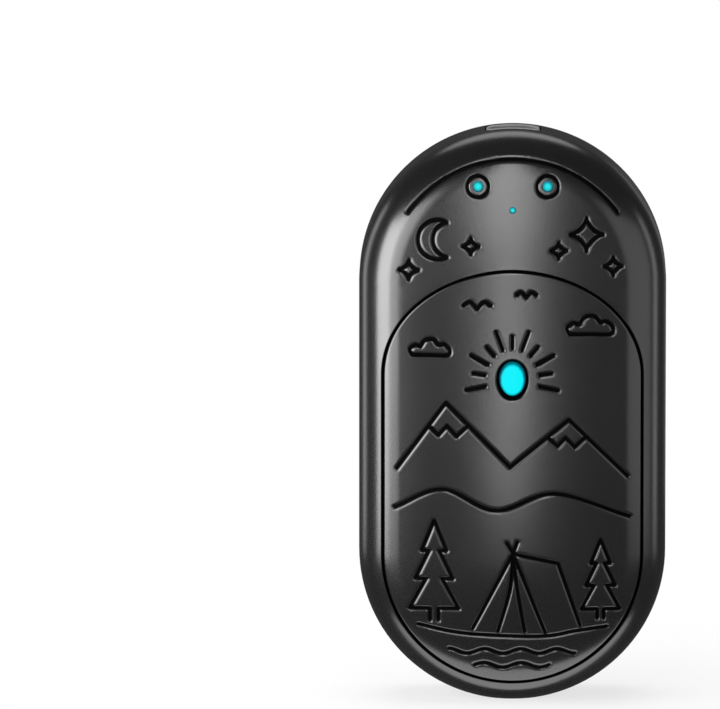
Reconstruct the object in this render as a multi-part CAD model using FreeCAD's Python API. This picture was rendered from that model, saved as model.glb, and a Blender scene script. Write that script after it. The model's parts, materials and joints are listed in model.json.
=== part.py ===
import FreeCAD, Part
import math
import os
from FreeCAD import Vector

# Pocket hand warmer in millimetres. +Z is up, the front faces -Y, +X is to the right of the front.
# The origin is the middle of the small flat foot, half way through the case's depth.

# Case form
case_width = 57.6
case_height = 108.0
case_depth = 24.0
foot_width = 9.0
dome_radius = 160.0
front_edge_radius = 9.0
back_edge_radius = 6.0
wall = 2.2

# Joint between the two shells
rim_wall = 1.1
tongue_height = 1.6
tongue_clearance = 0.1
snap_radius = 0.4
snap_clearance = 0.1
snap_length = 8.0
snap_places_shares = (-0.36, 0.0, 0.36)

# Heating panel in its recess
panel_inset = 4.7
panel_top_below_top = 25.7
panel_shoulder_below_top = 45.5
panel_gap = 0.4
panel_thickness = 1.0
film_thickness = 0.25
film_clearance = 0.03
adhesive_width = 2.0
adhesive_gap = 0.4
film_round_button = 1.2

# Power button
button_width = 4.6
button_height = 6.2
button_below_top = 46.0
button_travel = 0.4
button_clearance = 0.2
button_panel_gap = 0.5
button_sink = 0.1
button_flange_gap = 0.15
button_flange_rim = 1.2
button_flange_thickness = 0.8
button_stem_diameter = 2.4
button_stem_length = 0.45

# Switch behind the button and its board
switch_width = 6.0
switch_height = 2.0
plunger_diameter = 3.2
plunger_spare = 0.45
plunger_rooted = 0.6
switch_bore_spare = 0.5
plunger_clearance = 0.08
board_thickness = 1.2
button_board_width = 18.0
button_board_height = 22.0
button_board_corner = 1.5
button_board_screw_inset = 2.6
standoff_height = 1.2
standoff_radius = 1.9

# Battery tray and cell
tray_thickness = 1.2
tray_wall = 0.8
tray_wall_height = 6.0
cell_clearance = 0.25
cell_side_room = 6.6
cell_bottom_room = 15.4
cell_edge_radius = 2.5
cell_terrace_height = 4.5
cell_terrace_thickness = 0.4
lead_room = 5.5
tray_post_low_rise = 2.5
tray_post_high_drop = 10.0
tray_ear_radius = 2.4
insulation_thickness = 1.5
insulation_margin = 2.0
guard_width = 30.0
guard_height = 3.4
guard_thickness = 1.0

# Bosses and screws
post_radius = 1.9
post_margin = 0.7
pilot_radius = 0.8
pilot_depth = 3.2
screw_shank_radius = 0.75
screw_shank_length = 2.6
screw_hole_radius = 1.0
screw_head_radius = 1.6
screw_head_height = 1.1
screw_slot_width = 0.4
screw_slot_depth = 0.5
screw_tip_gap = 0.4

# Main board
board_below_top = 25.0
board_margin = 0.6
board_top_gap = 4.0
board_post_angle = 60.0
board_low_post_share = 0.64
board_low_post_rise = 4.0

# Charging port
usb_width = 8.94
usb_height = 3.26
usb_depth = 7.35
usb_sheet = 0.3
usb_below_top = 0.8
usb_hole_clearance = 0.15
usb_core_depth = 1.75
usb_core_clearance = 0.03
tongue_board_width = 6.69
tongue_board_thickness = 0.7
tongue_board_sink = 0.7
contact_count = 12
contact_pitch = 0.5
contact_width = 0.25
contact_thickness = 0.05
contact_length = 3.4
bezel_width = 10.0
bezel_depth = 6.0
bezel_corner = 1.4
bezel_thickness = 1.2
bezel_gap = 0.3
port_parting_margin = 0.55

# Lit windows
window_spread = 13.0
window_below_top = 9.6
window_diameter = 1.9
window_ring_diameter = 4.1
window_ring_width = 0.55
window_ring_depth = 0.3
indicator_below_top = 14.0
indicator_diameter = 1.1
pipe_clearance = 0.1
pipe_sink = 0.05
pipe_flange_rim = 0.65
pipe_lamp_gap = 0.3
shroud_margin = 1.5
shroud_board_gap = 0.05
shroud_bore_clearance = 0.15
pipe_seat_gap = 0.1
flange_thickness = 0.6
lamp_length = 1.2
lamp_width = 0.8
lamp_height = 0.6

# Parts on the main board, width by height by thickness, and their places as shares of the board
controller_size = (4.0, 4.0, 0.9)
controller_place_shares = (0.2, 0.56)
processor_size = (5.0, 4.0, 1.5)
processor_place_shares = (-0.16, 0.46)
inductor_size = (6.0, 6.0, 3.0)
inductor_place_shares = (0.55, 0.52)
transistor_size = (2.9, 1.4, 1.1)
transistor_places_shares = ((0.05, 0.26), (0.22, 0.26))
capacitor_size = (0.8, 1.6, 0.8)
capacitor_places_shares = ((-0.62, 0.5), (-0.56, 0.5), (-0.5, 0.5), (0.2, 0.76), (-0.22, 0.76))
socket_size = (6.0, 4.0, 3.6)
socket_place_shares = (-0.43, 0.3)
plug_height = 2.6
plug_inset = 0.4

# Leads and the flat cable
lead_diameter = 1.0
thin_lead_diameter = 0.6
lead_bend_radius = 1.4
lead_pitch = 2.2
thin_lead_pitch = 1.2
lead_end_gap = 0.06
battery_lead_end_share = 0.33
lead_hole_clearance = 0.2
lead_landing_rise = 3.0
front_lead_x_share = 0.43
front_lead_below_panel_top = 9.0
front_lead_depth = 4.0
back_lead_x_share = 0.43
back_lead_rise = 1.5
back_lead_depth = 3.6
sensor_x_share = -0.14
sensor_size = (3.0, 2.0, 1.2)
ribbon_width = 5.0
ribbon_thickness = 0.2
ribbon_overlap = 3.0
ribbon_lead_in = 1.5
back_film_margin = 3.0
back_film_top_room = 3.0
overrun = 5.0
along_share = 0.9

# Places worked out from the sizes above
half_width = case_width / 2
front_y = -case_depth / 2
back_y = case_depth / 2
foot_rise = half_width - math.sqrt(half_width**2 - (foot_width / 2) ** 2)
low_z = half_width - foot_rise
high_z = case_height - half_width
dome_y = front_y + dome_radius
edge_u = half_width - front_edge_radius
edge_y = dome_y - math.sqrt((dome_radius - front_edge_radius) ** 2 - edge_u**2)
parting_y = back_y - back_edge_radius
cavity_half = half_width - wall
recess_depth = panel_thickness + film_thickness
floor_y = front_y + wall
back_wall_y = back_y - wall

panel_half = half_width - panel_inset
panel_top_z = case_height - panel_top_below_top
panel_shoulder_z = case_height - panel_shoulder_below_top
button_z = case_height - button_below_top

flange_front_y = floor_y + button_flange_gap
flange_back_y = flange_front_y + button_flange_thickness
plunger_top_y = flange_back_y + button_stem_length
switch_top_y = plunger_top_y + button_travel + plunger_spare
switch_bore_depth = plunger_rooted + button_travel + switch_bore_spare
button_board_y = switch_top_y + switch_height
standoff_y = button_board_y + board_thickness
tray_y = standoff_y + standoff_height
cell_front_y = tray_y + tray_thickness
film_back_y = back_wall_y - film_thickness
cell_back_y = film_back_y - insulation_thickness

board_low_z = case_height - board_below_top
board_high_z = case_height - board_top_gap
port_y = parting_y - port_parting_margin - bezel_gap - bezel_depth / 2
board_back_y = port_y - usb_height / 2
board_front_y = board_back_y - board_thickness
board_half = cavity_half - board_margin

cell_half = cavity_half - cell_side_room
cell_low_z = wall + cell_bottom_room
cell_high_z = board_low_z - lead_room
cell_body_high_z = cell_high_z - cell_terrace_height
cell_mid_y = (cell_front_y + cell_back_y) / 2
tray_post_x = cavity_half - post_radius - post_margin
tray_post_low_z = low_z + tray_post_low_rise
tray_post_high_z = board_low_z - tray_post_high_drop

window_z = case_height - window_below_top
indicator_z = case_height - indicator_below_top
left_window = (-window_spread / 2, window_z, window_diameter)
right_window = (window_spread / 2, window_z, window_diameter)
indicator_dot = (0, indicator_z, indicator_diameter)
lamp_places = (left_window, right_window, indicator_dot)
usb_high_z = case_height - usb_below_top
usb_low_z = usb_high_z - usb_depth

board_post_u = cavity_half - post_radius - post_margin
board_post_x = board_post_u * math.cos(math.radians(board_post_angle))
board_post_z = high_z + board_post_u * math.sin(math.radians(board_post_angle))
board_low_post_x = cavity_half * board_low_post_share
board_low_post_z = board_low_z + board_low_post_rise
board_posts = (
    (-board_post_x, board_post_z),
    (board_post_x, board_post_z),
    (-board_low_post_x, board_low_post_z),
    (board_low_post_x, board_low_post_z),
)
tray_posts = (
    (-tray_post_x, tray_post_low_z),
    (tray_post_x, tray_post_low_z),
    (-tray_post_x, tray_post_high_z),
    (tray_post_x, tray_post_high_z),
)
button_board_screw_z = button_board_height / 2 - button_board_screw_inset
button_board_screw_x = button_board_width / 2 - button_board_screw_inset
button_board_posts = (
    (-button_board_screw_x, button_z - button_board_screw_z),
    (button_board_screw_x, button_z + button_board_screw_z),
)
button_screw_reach = cell_front_y - button_board_y - screw_tip_gap
half_turn = 180
front_lead_z = panel_top_z - front_lead_below_panel_top
lead_landing_z = board_low_z + lead_landing_rise


def dome_height(offset, u):
    """Y of the domed front, shrunk by offset, at distance u from the dome's middle."""
    return dome_y - math.sqrt((dome_radius - offset) ** 2 - u**2)


def from_high_centre(x, z):
    """Distance of a place on the front from the middle of its dome."""
    return math.hypot(x, max(z - high_z, 0))


def face_of(edges):
    """Flat face bounded by edges that meet end to end."""
    return Part.Face(Part.Wire(Part.__sortEdges__(edges)))


def arc_at(centre_x, centre_y, radius, start, end):
    """Arc whose angles are measured from -Y towards +X."""
    points = []
    for angle in (start, (start + end) / 2, end):
        across = centre_x + radius * math.sin(angle)
        points.append(Vector(across, centre_y - radius * math.cos(angle), 0))
    return Part.Arc(*points).toShape()


def case_form(offset):
    """The case's outer form without its foot, shrunk evenly by offset."""
    quarter = math.pi / 2
    lean = math.asin(edge_u / (dome_radius - front_edge_radius))
    side = half_width - offset
    back_u = half_width - back_edge_radius
    flank = [
        arc_at(edge_u, edge_y, front_edge_radius - offset, lean, quarter),
        Part.makeLine(Vector(side, edge_y, 0), Vector(side, parting_y, 0)),
        arc_at(back_u, parting_y, back_edge_radius - offset, quarter, math.pi),
    ]
    dome = dome_radius - offset
    back = back_y - offset
    corner = Vector(back_u, back, 0)
    half_edges = flank + [
        arc_at(0, dome_y, dome, 0, lean),
        Part.makeLine(corner, Vector(0, back, 0)),
        Part.makeLine(Vector(0, back, 0), Vector(0, front_y + offset, 0)),
    ]
    full_edges = flank + [edge.mirror(Vector(), Vector(1, 0, 0)) for edge in flank]
    full_edges += [
        arc_at(0, dome_y, dome, -lean, lean),
        Part.makeLine(corner, Vector(-back_u, back, 0)),
    ]
    middle = face_of(full_edges).extrude(Vector(0, 0, high_z - low_z))
    top_end = face_of(half_edges).revolve(Vector(), Vector(0, -1, 0), 180)
    bottom_end = face_of(half_edges).revolve(Vector(), Vector(0, 1, 0), 180)
    top_end.translate(Vector(0, 0, high_z - low_z))
    form = middle.fuse([top_end, bottom_end]).removeSplitter()
    form.translate(Vector(0, 0, low_z))
    return form


def prism(outline, y_from, y_to):
    """Solid from an outline drawn in X and Z, between two depths."""
    face = outline.copy()
    face.rotate(Vector(), Vector(1, 0, 0), 90)
    face.translate(Vector(0, y_from, 0))
    return face.extrude(Vector(0, y_to - y_from, 0))


def stadium(half):
    """Outline with straight sides and half-round ends about the case's two end centres."""
    edges = [
        Part.makeLine(Vector(half, low_z, 0), Vector(half, high_z, 0)),
        Part.makeLine(Vector(-half, low_z, 0), Vector(-half, high_z, 0)),
        Part.Arc(Vector(half, high_z, 0), Vector(0, high_z + half, 0), Vector(-half, high_z, 0)).toShape(),
        Part.Arc(Vector(half, low_z, 0), Vector(0, low_z - half, 0), Vector(-half, low_z, 0)).toShape(),
    ]
    return face_of(edges)


def ellipse(middle, half, rise):
    """Ellipse about a middle, and the angle along it of its right-hand end, whichever way it is longer."""
    crown = middle + Vector(0, rise, 0)
    if half >= rise:
        return Part.Ellipse(middle + Vector(half, 0, 0), crown, middle), 0
    return Part.Ellipse(crown, middle - Vector(half, 0, 0), middle), -math.pi / 2


def panel_outline(grow):
    """Outline of the panel, grown evenly: half-round below, straight sides, half an ellipse above."""
    half = panel_half + grow
    rise = panel_top_z - panel_shoulder_z + grow
    arch, right_end = ellipse(Vector(0, panel_shoulder_z, 0), half, rise)
    edges = [
        Part.ArcOfEllipse(arch, right_end, right_end + math.pi).toShape(),
        Part.makeLine(Vector(half, low_z, 0), Vector(half, panel_shoulder_z, 0)),
        Part.makeLine(Vector(-half, low_z, 0), Vector(-half, panel_shoulder_z, 0)),
        Part.Arc(Vector(half, low_z, 0), Vector(0, low_z - half, 0), Vector(-half, low_z, 0)).toShape(),
    ]
    return face_of(edges)


def oval(grow):
    """Outline of the button, grown evenly, at the button's place."""
    curve, _ = ellipse(Vector(0, button_z, 0), button_width / 2 + grow, button_height / 2 + grow)
    return face_of([curve.toShape()])


def rod(radius, x, z, y_from, y_to):
    """Round bar along the depth."""
    return Part.makeCylinder(radius, y_to - y_from, Vector(x, y_from, z), Vector(0, 1, 0))


def block(low, high):
    """Box between two opposite corners."""
    size = high - low
    return Part.makeBox(size.x, size.y, size.z, low)


def racetrack(width, height):
    """Outline with round ends, in X and Y, about the port's axis."""
    end = height / 2
    run = width / 2 - end
    edges = [
        Part.makeLine(Vector(-run, -end, 0), Vector(run, -end, 0)),
        Part.makeLine(Vector(-run, end, 0), Vector(run, end, 0)),
        Part.Arc(Vector(run, -end, 0), Vector(run + end, 0, 0), Vector(run, end, 0)).toShape(),
        Part.Arc(Vector(-run, -end, 0), Vector(-run - end, 0, 0), Vector(-run, end, 0)).toShape(),
    ]
    face = face_of(edges)
    face.translate(Vector(0, port_y, 0))
    return face


def column(outline, z_from, z_to):
    """Solid from an outline drawn in X and Y, between two heights."""
    face = outline.copy()
    face.translate(Vector(0, 0, z_from))
    return face.extrude(Vector(0, 0, z_to - z_from))


def rounded_block(low, high, radius, axis):
    """Box whose four edges along an axis are rounded."""
    shape = block(low, high)
    edges = [edge for edge in shape.Edges if abs(edge.tangentAt(edge.FirstParameter).dot(axis)) > along_share]
    return shape.makeFillet(radius, edges)


def lead(points, diameter):
    """Insulated wire along straight runs joined by tangent arcs."""
    edges = []
    start = points[0]
    for before, corner, after in zip(points, points[1:], points[2:]):
        arriving = (corner - before).normalize()
        leaving = (after - corner).normalize()
        turn = arriving.getAngle(leaving)
        reach = lead_bend_radius * math.tan(turn / 2)
        enter = corner - arriving * reach
        leave = corner + leaving * reach
        inward = (leaving - arriving).normalize()
        centre = corner + inward * (lead_bend_radius / math.cos(turn / 2))
        middle = centre - inward * lead_bend_radius
        edges.append(Part.makeLine(start, enter))
        edges.append(Part.Arc(enter, middle, leave).toShape())
        start = leave
    edges.append(Part.makeLine(start, points[-1]))
    section = Part.makeCircle(diameter / 2, points[0], points[1] - points[0])
    return Part.Wire(edges).makePipeShell([Part.Wire(section)], True, False)


def screw(reach, turn):
    """Self-tapping screw with a cross recess, seated at the origin with its head to the back, then turned."""
    head = rod(screw_head_radius, 0, 0, 0, screw_head_height)
    shape = head.fuse(rod(screw_shank_radius, 0, 0, -reach, 0)).removeSplitter()
    slot_y = screw_head_height - screw_slot_depth
    long_arm = screw_head_radius - screw_slot_width
    short_arm = screw_slot_width / 2
    for across, along in ((long_arm, short_arm), (short_arm, long_arm)):
        shape = shape.cut(block(Vector(-across, slot_y, -along), Vector(across, slot_y + overrun, along)))
    shape.rotate(Vector(), Vector(0, 0, 1), turn)
    return shape


def posts(places, end_y):
    """Bosses that rise from within the front wall to end_y."""
    return [rod(post_radius, x, z, front_y, end_y).common(floor_form) for x, z in places]


def on_back_of_board(size, place_shares):
    """Box-shaped part on the main board's back, placed by shares of the board's half-width and height."""
    width, height, thickness = size
    x = board_half * place_shares[0]
    z = board_low_z + (board_high_z - board_low_z) * place_shares[1]
    low = Vector(x - width / 2, board_back_y, z - height / 2)
    return Part.makeBox(width, thickness, height, low)


outer_form = case_form(0).cut(
    block(Vector(-case_width, -case_depth, -case_height), Vector(case_width, case_depth, 0))
)
inner_form = case_form(wall)
recess_form = case_form(recess_depth)
floor_form = case_form((recess_depth + wall) / 2)
front_half = block(
    Vector(-case_width, -case_depth, -overrun),
    Vector(case_width, parting_y, case_height + overrun),
)


def snap_bead(side, z, radius, length):
    """Half-round bead that locks the shells, standing on the tongue's outer face."""
    face_x = side * (half_width - rim_wall - tongue_clearance)
    start = Vector(face_x, parting_y - tongue_height / 2, z - length / 2)
    return Part.makeCylinder(radius, length, start, Vector(0, 0, 1))


def snap_places():
    """Side and height of every bead."""
    middle = (low_z + high_z) / 2
    return [(side, middle + (high_z - low_z) * share) for side in (-1, 1) for share in snap_places_shares]


def lead_starts(x_share, pitch):
    """X places of a pair of leads."""
    middle = cavity_half * x_share
    return (middle - pitch / 2, middle + pitch / 2)


def make_front_shell():
    shell = outer_form.cut(inner_form).common(front_half)
    shell = shell.fuse(posts(board_posts, board_front_y) + posts(tray_posts, tray_y))
    cuts = [prism(panel_outline(panel_gap), front_y - overrun, edge_y).cut(recess_form)]
    rim_y = parting_y - tongue_height - tongue_clearance
    cuts.append(prism(stadium(half_width - rim_wall), rim_y, parting_y + overrun))
    cuts.append(prism(oval(button_clearance), front_y - overrun, flange_front_y + overrun))
    ring_form = case_form(window_ring_depth)
    for x, z, diameter in lamp_places:
        cuts.append(rod(diameter / 2 + pipe_clearance, x, z, front_y - overrun, board_front_y))
    for x, z, diameter in (left_window, right_window):
        ring = rod(window_ring_diameter / 2, x, z, front_y - overrun, edge_y)
        ring = ring.cut(rod(window_ring_diameter / 2 - window_ring_width, x, z, front_y - overrun, edge_y))
        cuts.append(ring.cut(ring_form))
    for places, end_y in ((board_posts, board_front_y), (tray_posts, tray_y)):
        for x, z in places:
            cuts.append(rod(pilot_radius, x, z, end_y - pilot_depth, end_y + overrun))
    for x in lead_starts(front_lead_x_share, lead_pitch):
        cuts.append(rod(lead_diameter / 2 + lead_hole_clearance, x, front_lead_z, front_y, tray_y))
    for side, z in snap_places():
        cuts.append(snap_bead(side, z, snap_radius + snap_clearance, snap_length + 2 * snap_clearance))
    cuts.append(bezel_column(bezel_gap).cut(case_form(bezel_thickness)))
    slot = racetrack(usb_width + 2 * usb_hole_clearance, usb_height + 2 * usb_hole_clearance)
    cuts.append(column(slot, usb_low_z, case_height + overrun))
    return shell.cut(cuts).removeSplitter()


def bezel_column(grow):
    """Upright rounded block that the port's insert is cut from."""
    across = bezel_width / 2 + grow
    along = bezel_depth / 2 + grow
    low = Vector(-across, port_y - along, high_z + cavity_half - bezel_corner)
    high = Vector(across, port_y + along, case_height + overrun)
    return rounded_block(low, high, bezel_corner, Vector(0, 0, 1))


def make_usb_bezel():
    slot = racetrack(usb_width + 2 * usb_hole_clearance, usb_height + 2 * usb_hole_clearance)
    insert = bezel_column(0).common(outer_form).cut(case_form(bezel_thickness - film_clearance))
    return insert.cut(column(slot, usb_low_z, case_height + overrun))


def make_back_shell():
    shell = outer_form.cut(inner_form).cut(front_half)
    tongue_half = half_width - rim_wall - tongue_clearance
    tongue = prism(stadium(tongue_half), parting_y - tongue_height, parting_y)
    tongue = tongue.cut(prism(stadium(cavity_half), parting_y - tongue_height, parting_y))
    beads = [snap_bead(side, z, snap_radius, snap_length) for side, z in snap_places()]
    ring = tongue.fuse(beads)
    return shell.fuse(ring).removeSplitter()


def make_front_heat_panel():
    plate = prism(panel_outline(0), front_y - overrun, edge_y).common(outer_form)
    plate = plate.cut(case_form(panel_thickness))
    return plate.cut(prism(oval(button_clearance + button_panel_gap), front_y - overrun, edge_y))


def behind_panel(outline):
    """Thin layer between the panel and the recess floor, in an outline."""
    layer = prism(outline, front_y - overrun, edge_y).common(case_form(panel_thickness + film_clearance))
    return layer.cut(case_form(recess_depth - film_clearance))


def make_front_heater_film():
    film = behind_panel(panel_outline(-adhesive_width - adhesive_gap))
    hole = oval(button_clearance + button_panel_gap + film_round_button)
    return film.cut(prism(hole, front_y - overrun, edge_y))


def make_panel_adhesive():
    frame = behind_panel(panel_outline(0))
    return frame.cut(prism(panel_outline(-adhesive_width), front_y - overrun, edge_y))


def make_power_button():
    cap = prism(oval(0), front_y - overrun, flange_front_y).common(case_form(button_sink))
    flange = prism(oval(button_flange_rim), flange_front_y, flange_back_y)
    stem = rod(button_stem_diameter / 2, 0, button_z, flange_back_y, plunger_top_y)
    return cap.fuse([flange, stem]).removeSplitter()


def make_tact_switch_plunger():
    return rod(plunger_diameter / 2, 0, button_z, plunger_top_y, switch_top_y + plunger_rooted)


def make_tact_switch_body():
    half = switch_width / 2
    body = block(Vector(-half, switch_top_y, button_z - half), Vector(half, button_board_y, button_z + half))
    bore = plunger_diameter / 2 + plunger_clearance
    return body.cut(rod(bore, 0, button_z, switch_top_y - overrun, switch_top_y + switch_bore_depth))


def make_button_board():
    half_x = button_board_width / 2
    half_z = button_board_height / 2
    low = Vector(-half_x, button_board_y, button_z - half_z)
    high = Vector(half_x, standoff_y, button_z + half_z)
    board = rounded_block(low, high, button_board_corner, Vector(0, 1, 0))
    return board.cut(screw_holes(button_board_posts, standoff_y))


def make_battery_tray():
    plate_half = cell_half + cell_clearance + tray_wall
    plate_low_z = cell_low_z - cell_clearance - tray_wall
    wall_y = cell_front_y + tray_wall_height
    tray = block(Vector(-plate_half, tray_y, plate_low_z), Vector(plate_half, wall_y, cell_body_high_z))
    pocket_half = cell_half + cell_clearance
    pocket_low = Vector(-pocket_half, cell_front_y, cell_low_z - cell_clearance)
    tray = tray.cut(block(pocket_low, Vector(pocket_half, wall_y, cell_body_high_z)))
    ears = []
    for x, z in tray_posts:
        ear = rod(tray_ear_radius, x, z, tray_y, cell_front_y)
        root_x = math.copysign(plate_half, x)
        root = block(
            Vector(min(x, root_x), tray_y, z - tray_ear_radius),
            Vector(max(x, root_x), cell_front_y, z + tray_ear_radius),
        )
        ears += [ear.common(inner_form), root]
    standoffs = [rod(standoff_radius, x, z, standoff_y, tray_y) for x, z in button_board_posts]
    tray = tray.fuse(ears + standoffs)
    cuts = screw_holes(tray_posts, cell_front_y)
    cuts += [rod(pilot_radius, x, z, standoff_y - overrun, cell_front_y) for x, z in button_board_posts]
    return tray.cut(cuts).removeSplitter()


def make_battery_cell():
    low = Vector(-cell_half, cell_front_y, cell_low_z)
    high = Vector(cell_half, cell_back_y, cell_body_high_z)
    body = rounded_block(low, high, cell_edge_radius, Vector(0, 0, 1))
    flap_half = cell_half - cell_edge_radius
    flap_low = Vector(-flap_half, cell_mid_y - cell_terrace_thickness / 2, cell_body_high_z)
    flap_high = Vector(flap_half, cell_mid_y + cell_terrace_thickness / 2, cell_high_z)
    return body.fuse(block(flap_low, flap_high))


guard_y = cell_mid_y + cell_terrace_thickness / 2
guard_low_z = cell_high_z - guard_height


def make_battery_protection_board():
    low = Vector(-guard_width / 2, guard_y, guard_low_z)
    return Part.makeBox(guard_width, guard_thickness, guard_height, low)


def make_insulating_pad():
    half = cell_half - insulation_margin
    low = Vector(-half, cell_back_y, cell_low_z + insulation_margin)
    return block(low, Vector(half, film_back_y, cell_body_high_z - insulation_margin))


def make_back_heater_film():
    half = half_width - back_edge_radius - back_film_margin
    film = prism(stadium(half), film_back_y, back_wall_y)
    top = block(
        Vector(-case_width, film_back_y - overrun, lead_landing_z + back_film_top_room),
        Vector(case_width, back_y, case_height),
    )
    return film.cut(top)


def make_main_board():
    disc = rod(board_half, 0, high_z, board_front_y, board_back_y)
    low = Vector(-case_width, board_front_y, board_low_z)
    keep = block(low, Vector(case_width, board_back_y, board_high_z))
    return disc.common(keep).cut(screw_holes(board_posts, board_back_y))


def make_usb_port_shell():
    can = column(racetrack(usb_width, usb_height), usb_low_z, usb_high_z)
    inside = racetrack(usb_width - 2 * usb_sheet, usb_height - 2 * usb_sheet)
    return can.cut(column(inside, usb_low_z + usb_sheet, usb_high_z))


core_low_z = usb_low_z + usb_sheet
core_high_z = core_low_z + usb_core_depth
tongue_high_z = usb_high_z - tongue_board_sink


def make_usb_port_tongue():
    trim = 2 * (usb_sheet + usb_core_clearance)
    core = column(racetrack(usb_width - trim, usb_height - trim), core_low_z, core_high_z)
    half_x = tongue_board_width / 2
    half_y = tongue_board_thickness / 2
    low = Vector(-half_x, port_y - half_y, core_high_z)
    return core.fuse(block(low, Vector(half_x, port_y + half_y, tongue_high_z)))


def make_usb_port_contacts():
    solids = []
    for number in range(contact_count):
        x = (number - (contact_count - 1) / 2) * contact_pitch
        for face in (-1, 1):
            surface = port_y + face * tongue_board_thickness / 2
            low_y = surface if face > 0 else surface - contact_thickness
            low = Vector(x - contact_width / 2, low_y, core_high_z)
            solids.append(Part.makeBox(contact_width, contact_thickness, contact_length, low))
    return Part.makeCompound(solids)


def flange_front(x, z, radius):
    """Depth at which a light pipe's flange clears the inside of the front wall."""
    return dome_height(wall, from_high_centre(x, z) + radius) + pipe_seat_gap


def shroud_front_y():
    """Front of the shroud, behind every light pipe's flange."""
    fronts = [flange_front(x, z, diameter / 2 + pipe_flange_rim) for x, z, diameter in lamp_places]
    return max(fronts) + flange_thickness


def light_pipe(x, z, diameter):
    """Clear rod from just above its lamp to the case's face, with a flange between wall and shroud."""
    radius = diameter / 2
    back = board_front_y - lamp_height - pipe_lamp_gap
    pipe = rod(radius, x, z, front_y - overrun, back).common(case_form(pipe_sink))
    flange_radius = radius + pipe_flange_rim
    flange = rod(flange_radius, x, z, flange_front(x, z, flange_radius), shroud_front_y())
    return pipe.fuse(flange).removeSplitter()


def make_light_shroud():
    half_x = window_spread / 2 + window_diameter / 2 + shroud_margin
    low_z_face = indicator_z - indicator_diameter / 2 - shroud_margin
    high_z_face = window_z + window_diameter / 2 + shroud_margin
    low = Vector(-half_x, shroud_front_y(), low_z_face)
    high = Vector(half_x, board_front_y - shroud_board_gap, high_z_face)
    shroud = rounded_block(low, high, shroud_margin, Vector(0, 1, 0))
    cuts = [rod(post_radius + post_margin, x, z, low.y - overrun, board_front_y) for x, z in board_posts]
    for x, z, diameter in lamp_places:
        bore = max(diameter, math.hypot(lamp_length, lamp_width)) / 2 + shroud_bore_clearance
        cuts.append(rod(bore, x, z, low.y - overrun, board_front_y))
    return shroud.cut(cuts)


def make_status_leds():
    lamps = []
    for x, z, diameter in lamp_places:
        low = Vector(x - lamp_length / 2, board_front_y - lamp_height, z - lamp_width / 2)
        lamps.append(Part.makeBox(lamp_length, lamp_height, lamp_width, low))
    return Part.makeCompound(lamps)


def make_battery_plug(socket):
    bounds = socket.BoundBox
    low = Vector(bounds.XMin + plug_inset, board_back_y + plug_inset, bounds.ZMin - plug_height)
    return block(low, Vector(bounds.XMax - plug_inset, bounds.YMax - plug_inset, bounds.ZMin))


def battery_lead(plug, side):
    """Wire from the cell's safety board up to the plug, stepping across in depth."""
    bounds = plug.BoundBox
    x = bounds.Center.x + side * lead_pitch / 2
    start_y = guard_y + guard_thickness / 2
    run = (bounds.ZMin - cell_high_z) * battery_lead_end_share
    points = [
        Vector(x, start_y, cell_high_z),
        Vector(x, start_y, cell_high_z + run),
        Vector(x, bounds.Center.y, bounds.ZMin - run),
        Vector(x, bounds.Center.y, bounds.ZMin),
    ]
    return lead(points, lead_diameter)


def board_leads(x_places, start_y, start_z, turn_y, end_y, diameter):
    """Wires that leave a surface along the depth, climb, and turn in again to land on the main board."""
    wires = []
    for x in x_places:
        points = [
            Vector(x, start_y, start_z),
            Vector(x, turn_y, start_z),
            Vector(x, turn_y, lead_landing_z),
            Vector(x, end_y, lead_landing_z),
        ]
        wires.append(lead(points, diameter))
    return Part.makeCompound(wires)


def make_front_heater_leads():
    x_places = lead_starts(front_lead_x_share, lead_pitch)
    furthest = max(x_places) + lead_diameter / 2
    start_y = dome_height(recess_depth - film_clearance, furthest) + lead_end_gap
    turn_y = start_y + front_lead_depth
    return board_leads(x_places, start_y, front_lead_z, turn_y, board_front_y, lead_diameter)


sensor_low_z = cell_high_z + back_lead_rise


def make_back_heater_leads():
    x_places = lead_starts(back_lead_x_share, lead_pitch)
    turn_y = film_back_y - back_lead_depth
    return board_leads(x_places, film_back_y, sensor_low_z, turn_y, board_back_y, lead_diameter)


def make_thermistor():
    width, height, thickness = sensor_size
    x = cavity_half * sensor_x_share
    low = Vector(x - width / 2, film_back_y - thickness, sensor_low_z - height / 2)
    return Part.makeBox(width, thickness, height, low)


def make_thermistor_leads():
    x_places = lead_starts(sensor_x_share, thin_lead_pitch)
    turn_y = film_back_y - back_lead_depth
    start_y = film_back_y - sensor_size[2]
    return board_leads(x_places, start_y, sensor_low_z, turn_y, board_back_y, thin_lead_diameter)


def make_board_ribbon():
    upper_y = board_front_y - ribbon_thickness
    lower_y = button_board_y - ribbon_thickness
    lower_z = button_z + button_board_height / 2
    x = -ribbon_width / 2
    route = [
        Vector(x, upper_y, board_low_z + ribbon_overlap),
        Vector(x, upper_y, board_low_z - ribbon_lead_in),
        Vector(x, lower_y, lower_z + ribbon_lead_in),
        Vector(x, lower_y, lower_z - ribbon_overlap),
    ]
    back = [point + Vector(0, ribbon_thickness, 0) for point in reversed(route)]
    side = Part.Face(Part.makePolygon(route + back + route[:1]))
    return side.extrude(Vector(ribbon_width, 0, 0))


def screw_holes(places, back):
    """Clearance holes through a plate whose back is at the depth given."""
    return [rod(screw_hole_radius, x, z, back - overrun, back) for x, z in places]


def screws(places, seat_y, reach, turn=0):
    """One screw at each place, seated at one depth; a half turn drives them from the front."""
    solids = []
    for x, z in places:
        solid = screw(reach, turn)
        solid.translate(Vector(x, seat_y, z))
        solids.append(solid)
    return Part.makeCompound(solids)


socket = on_back_of_board(socket_size, socket_place_shares)
plug = make_battery_plug(socket)

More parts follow.
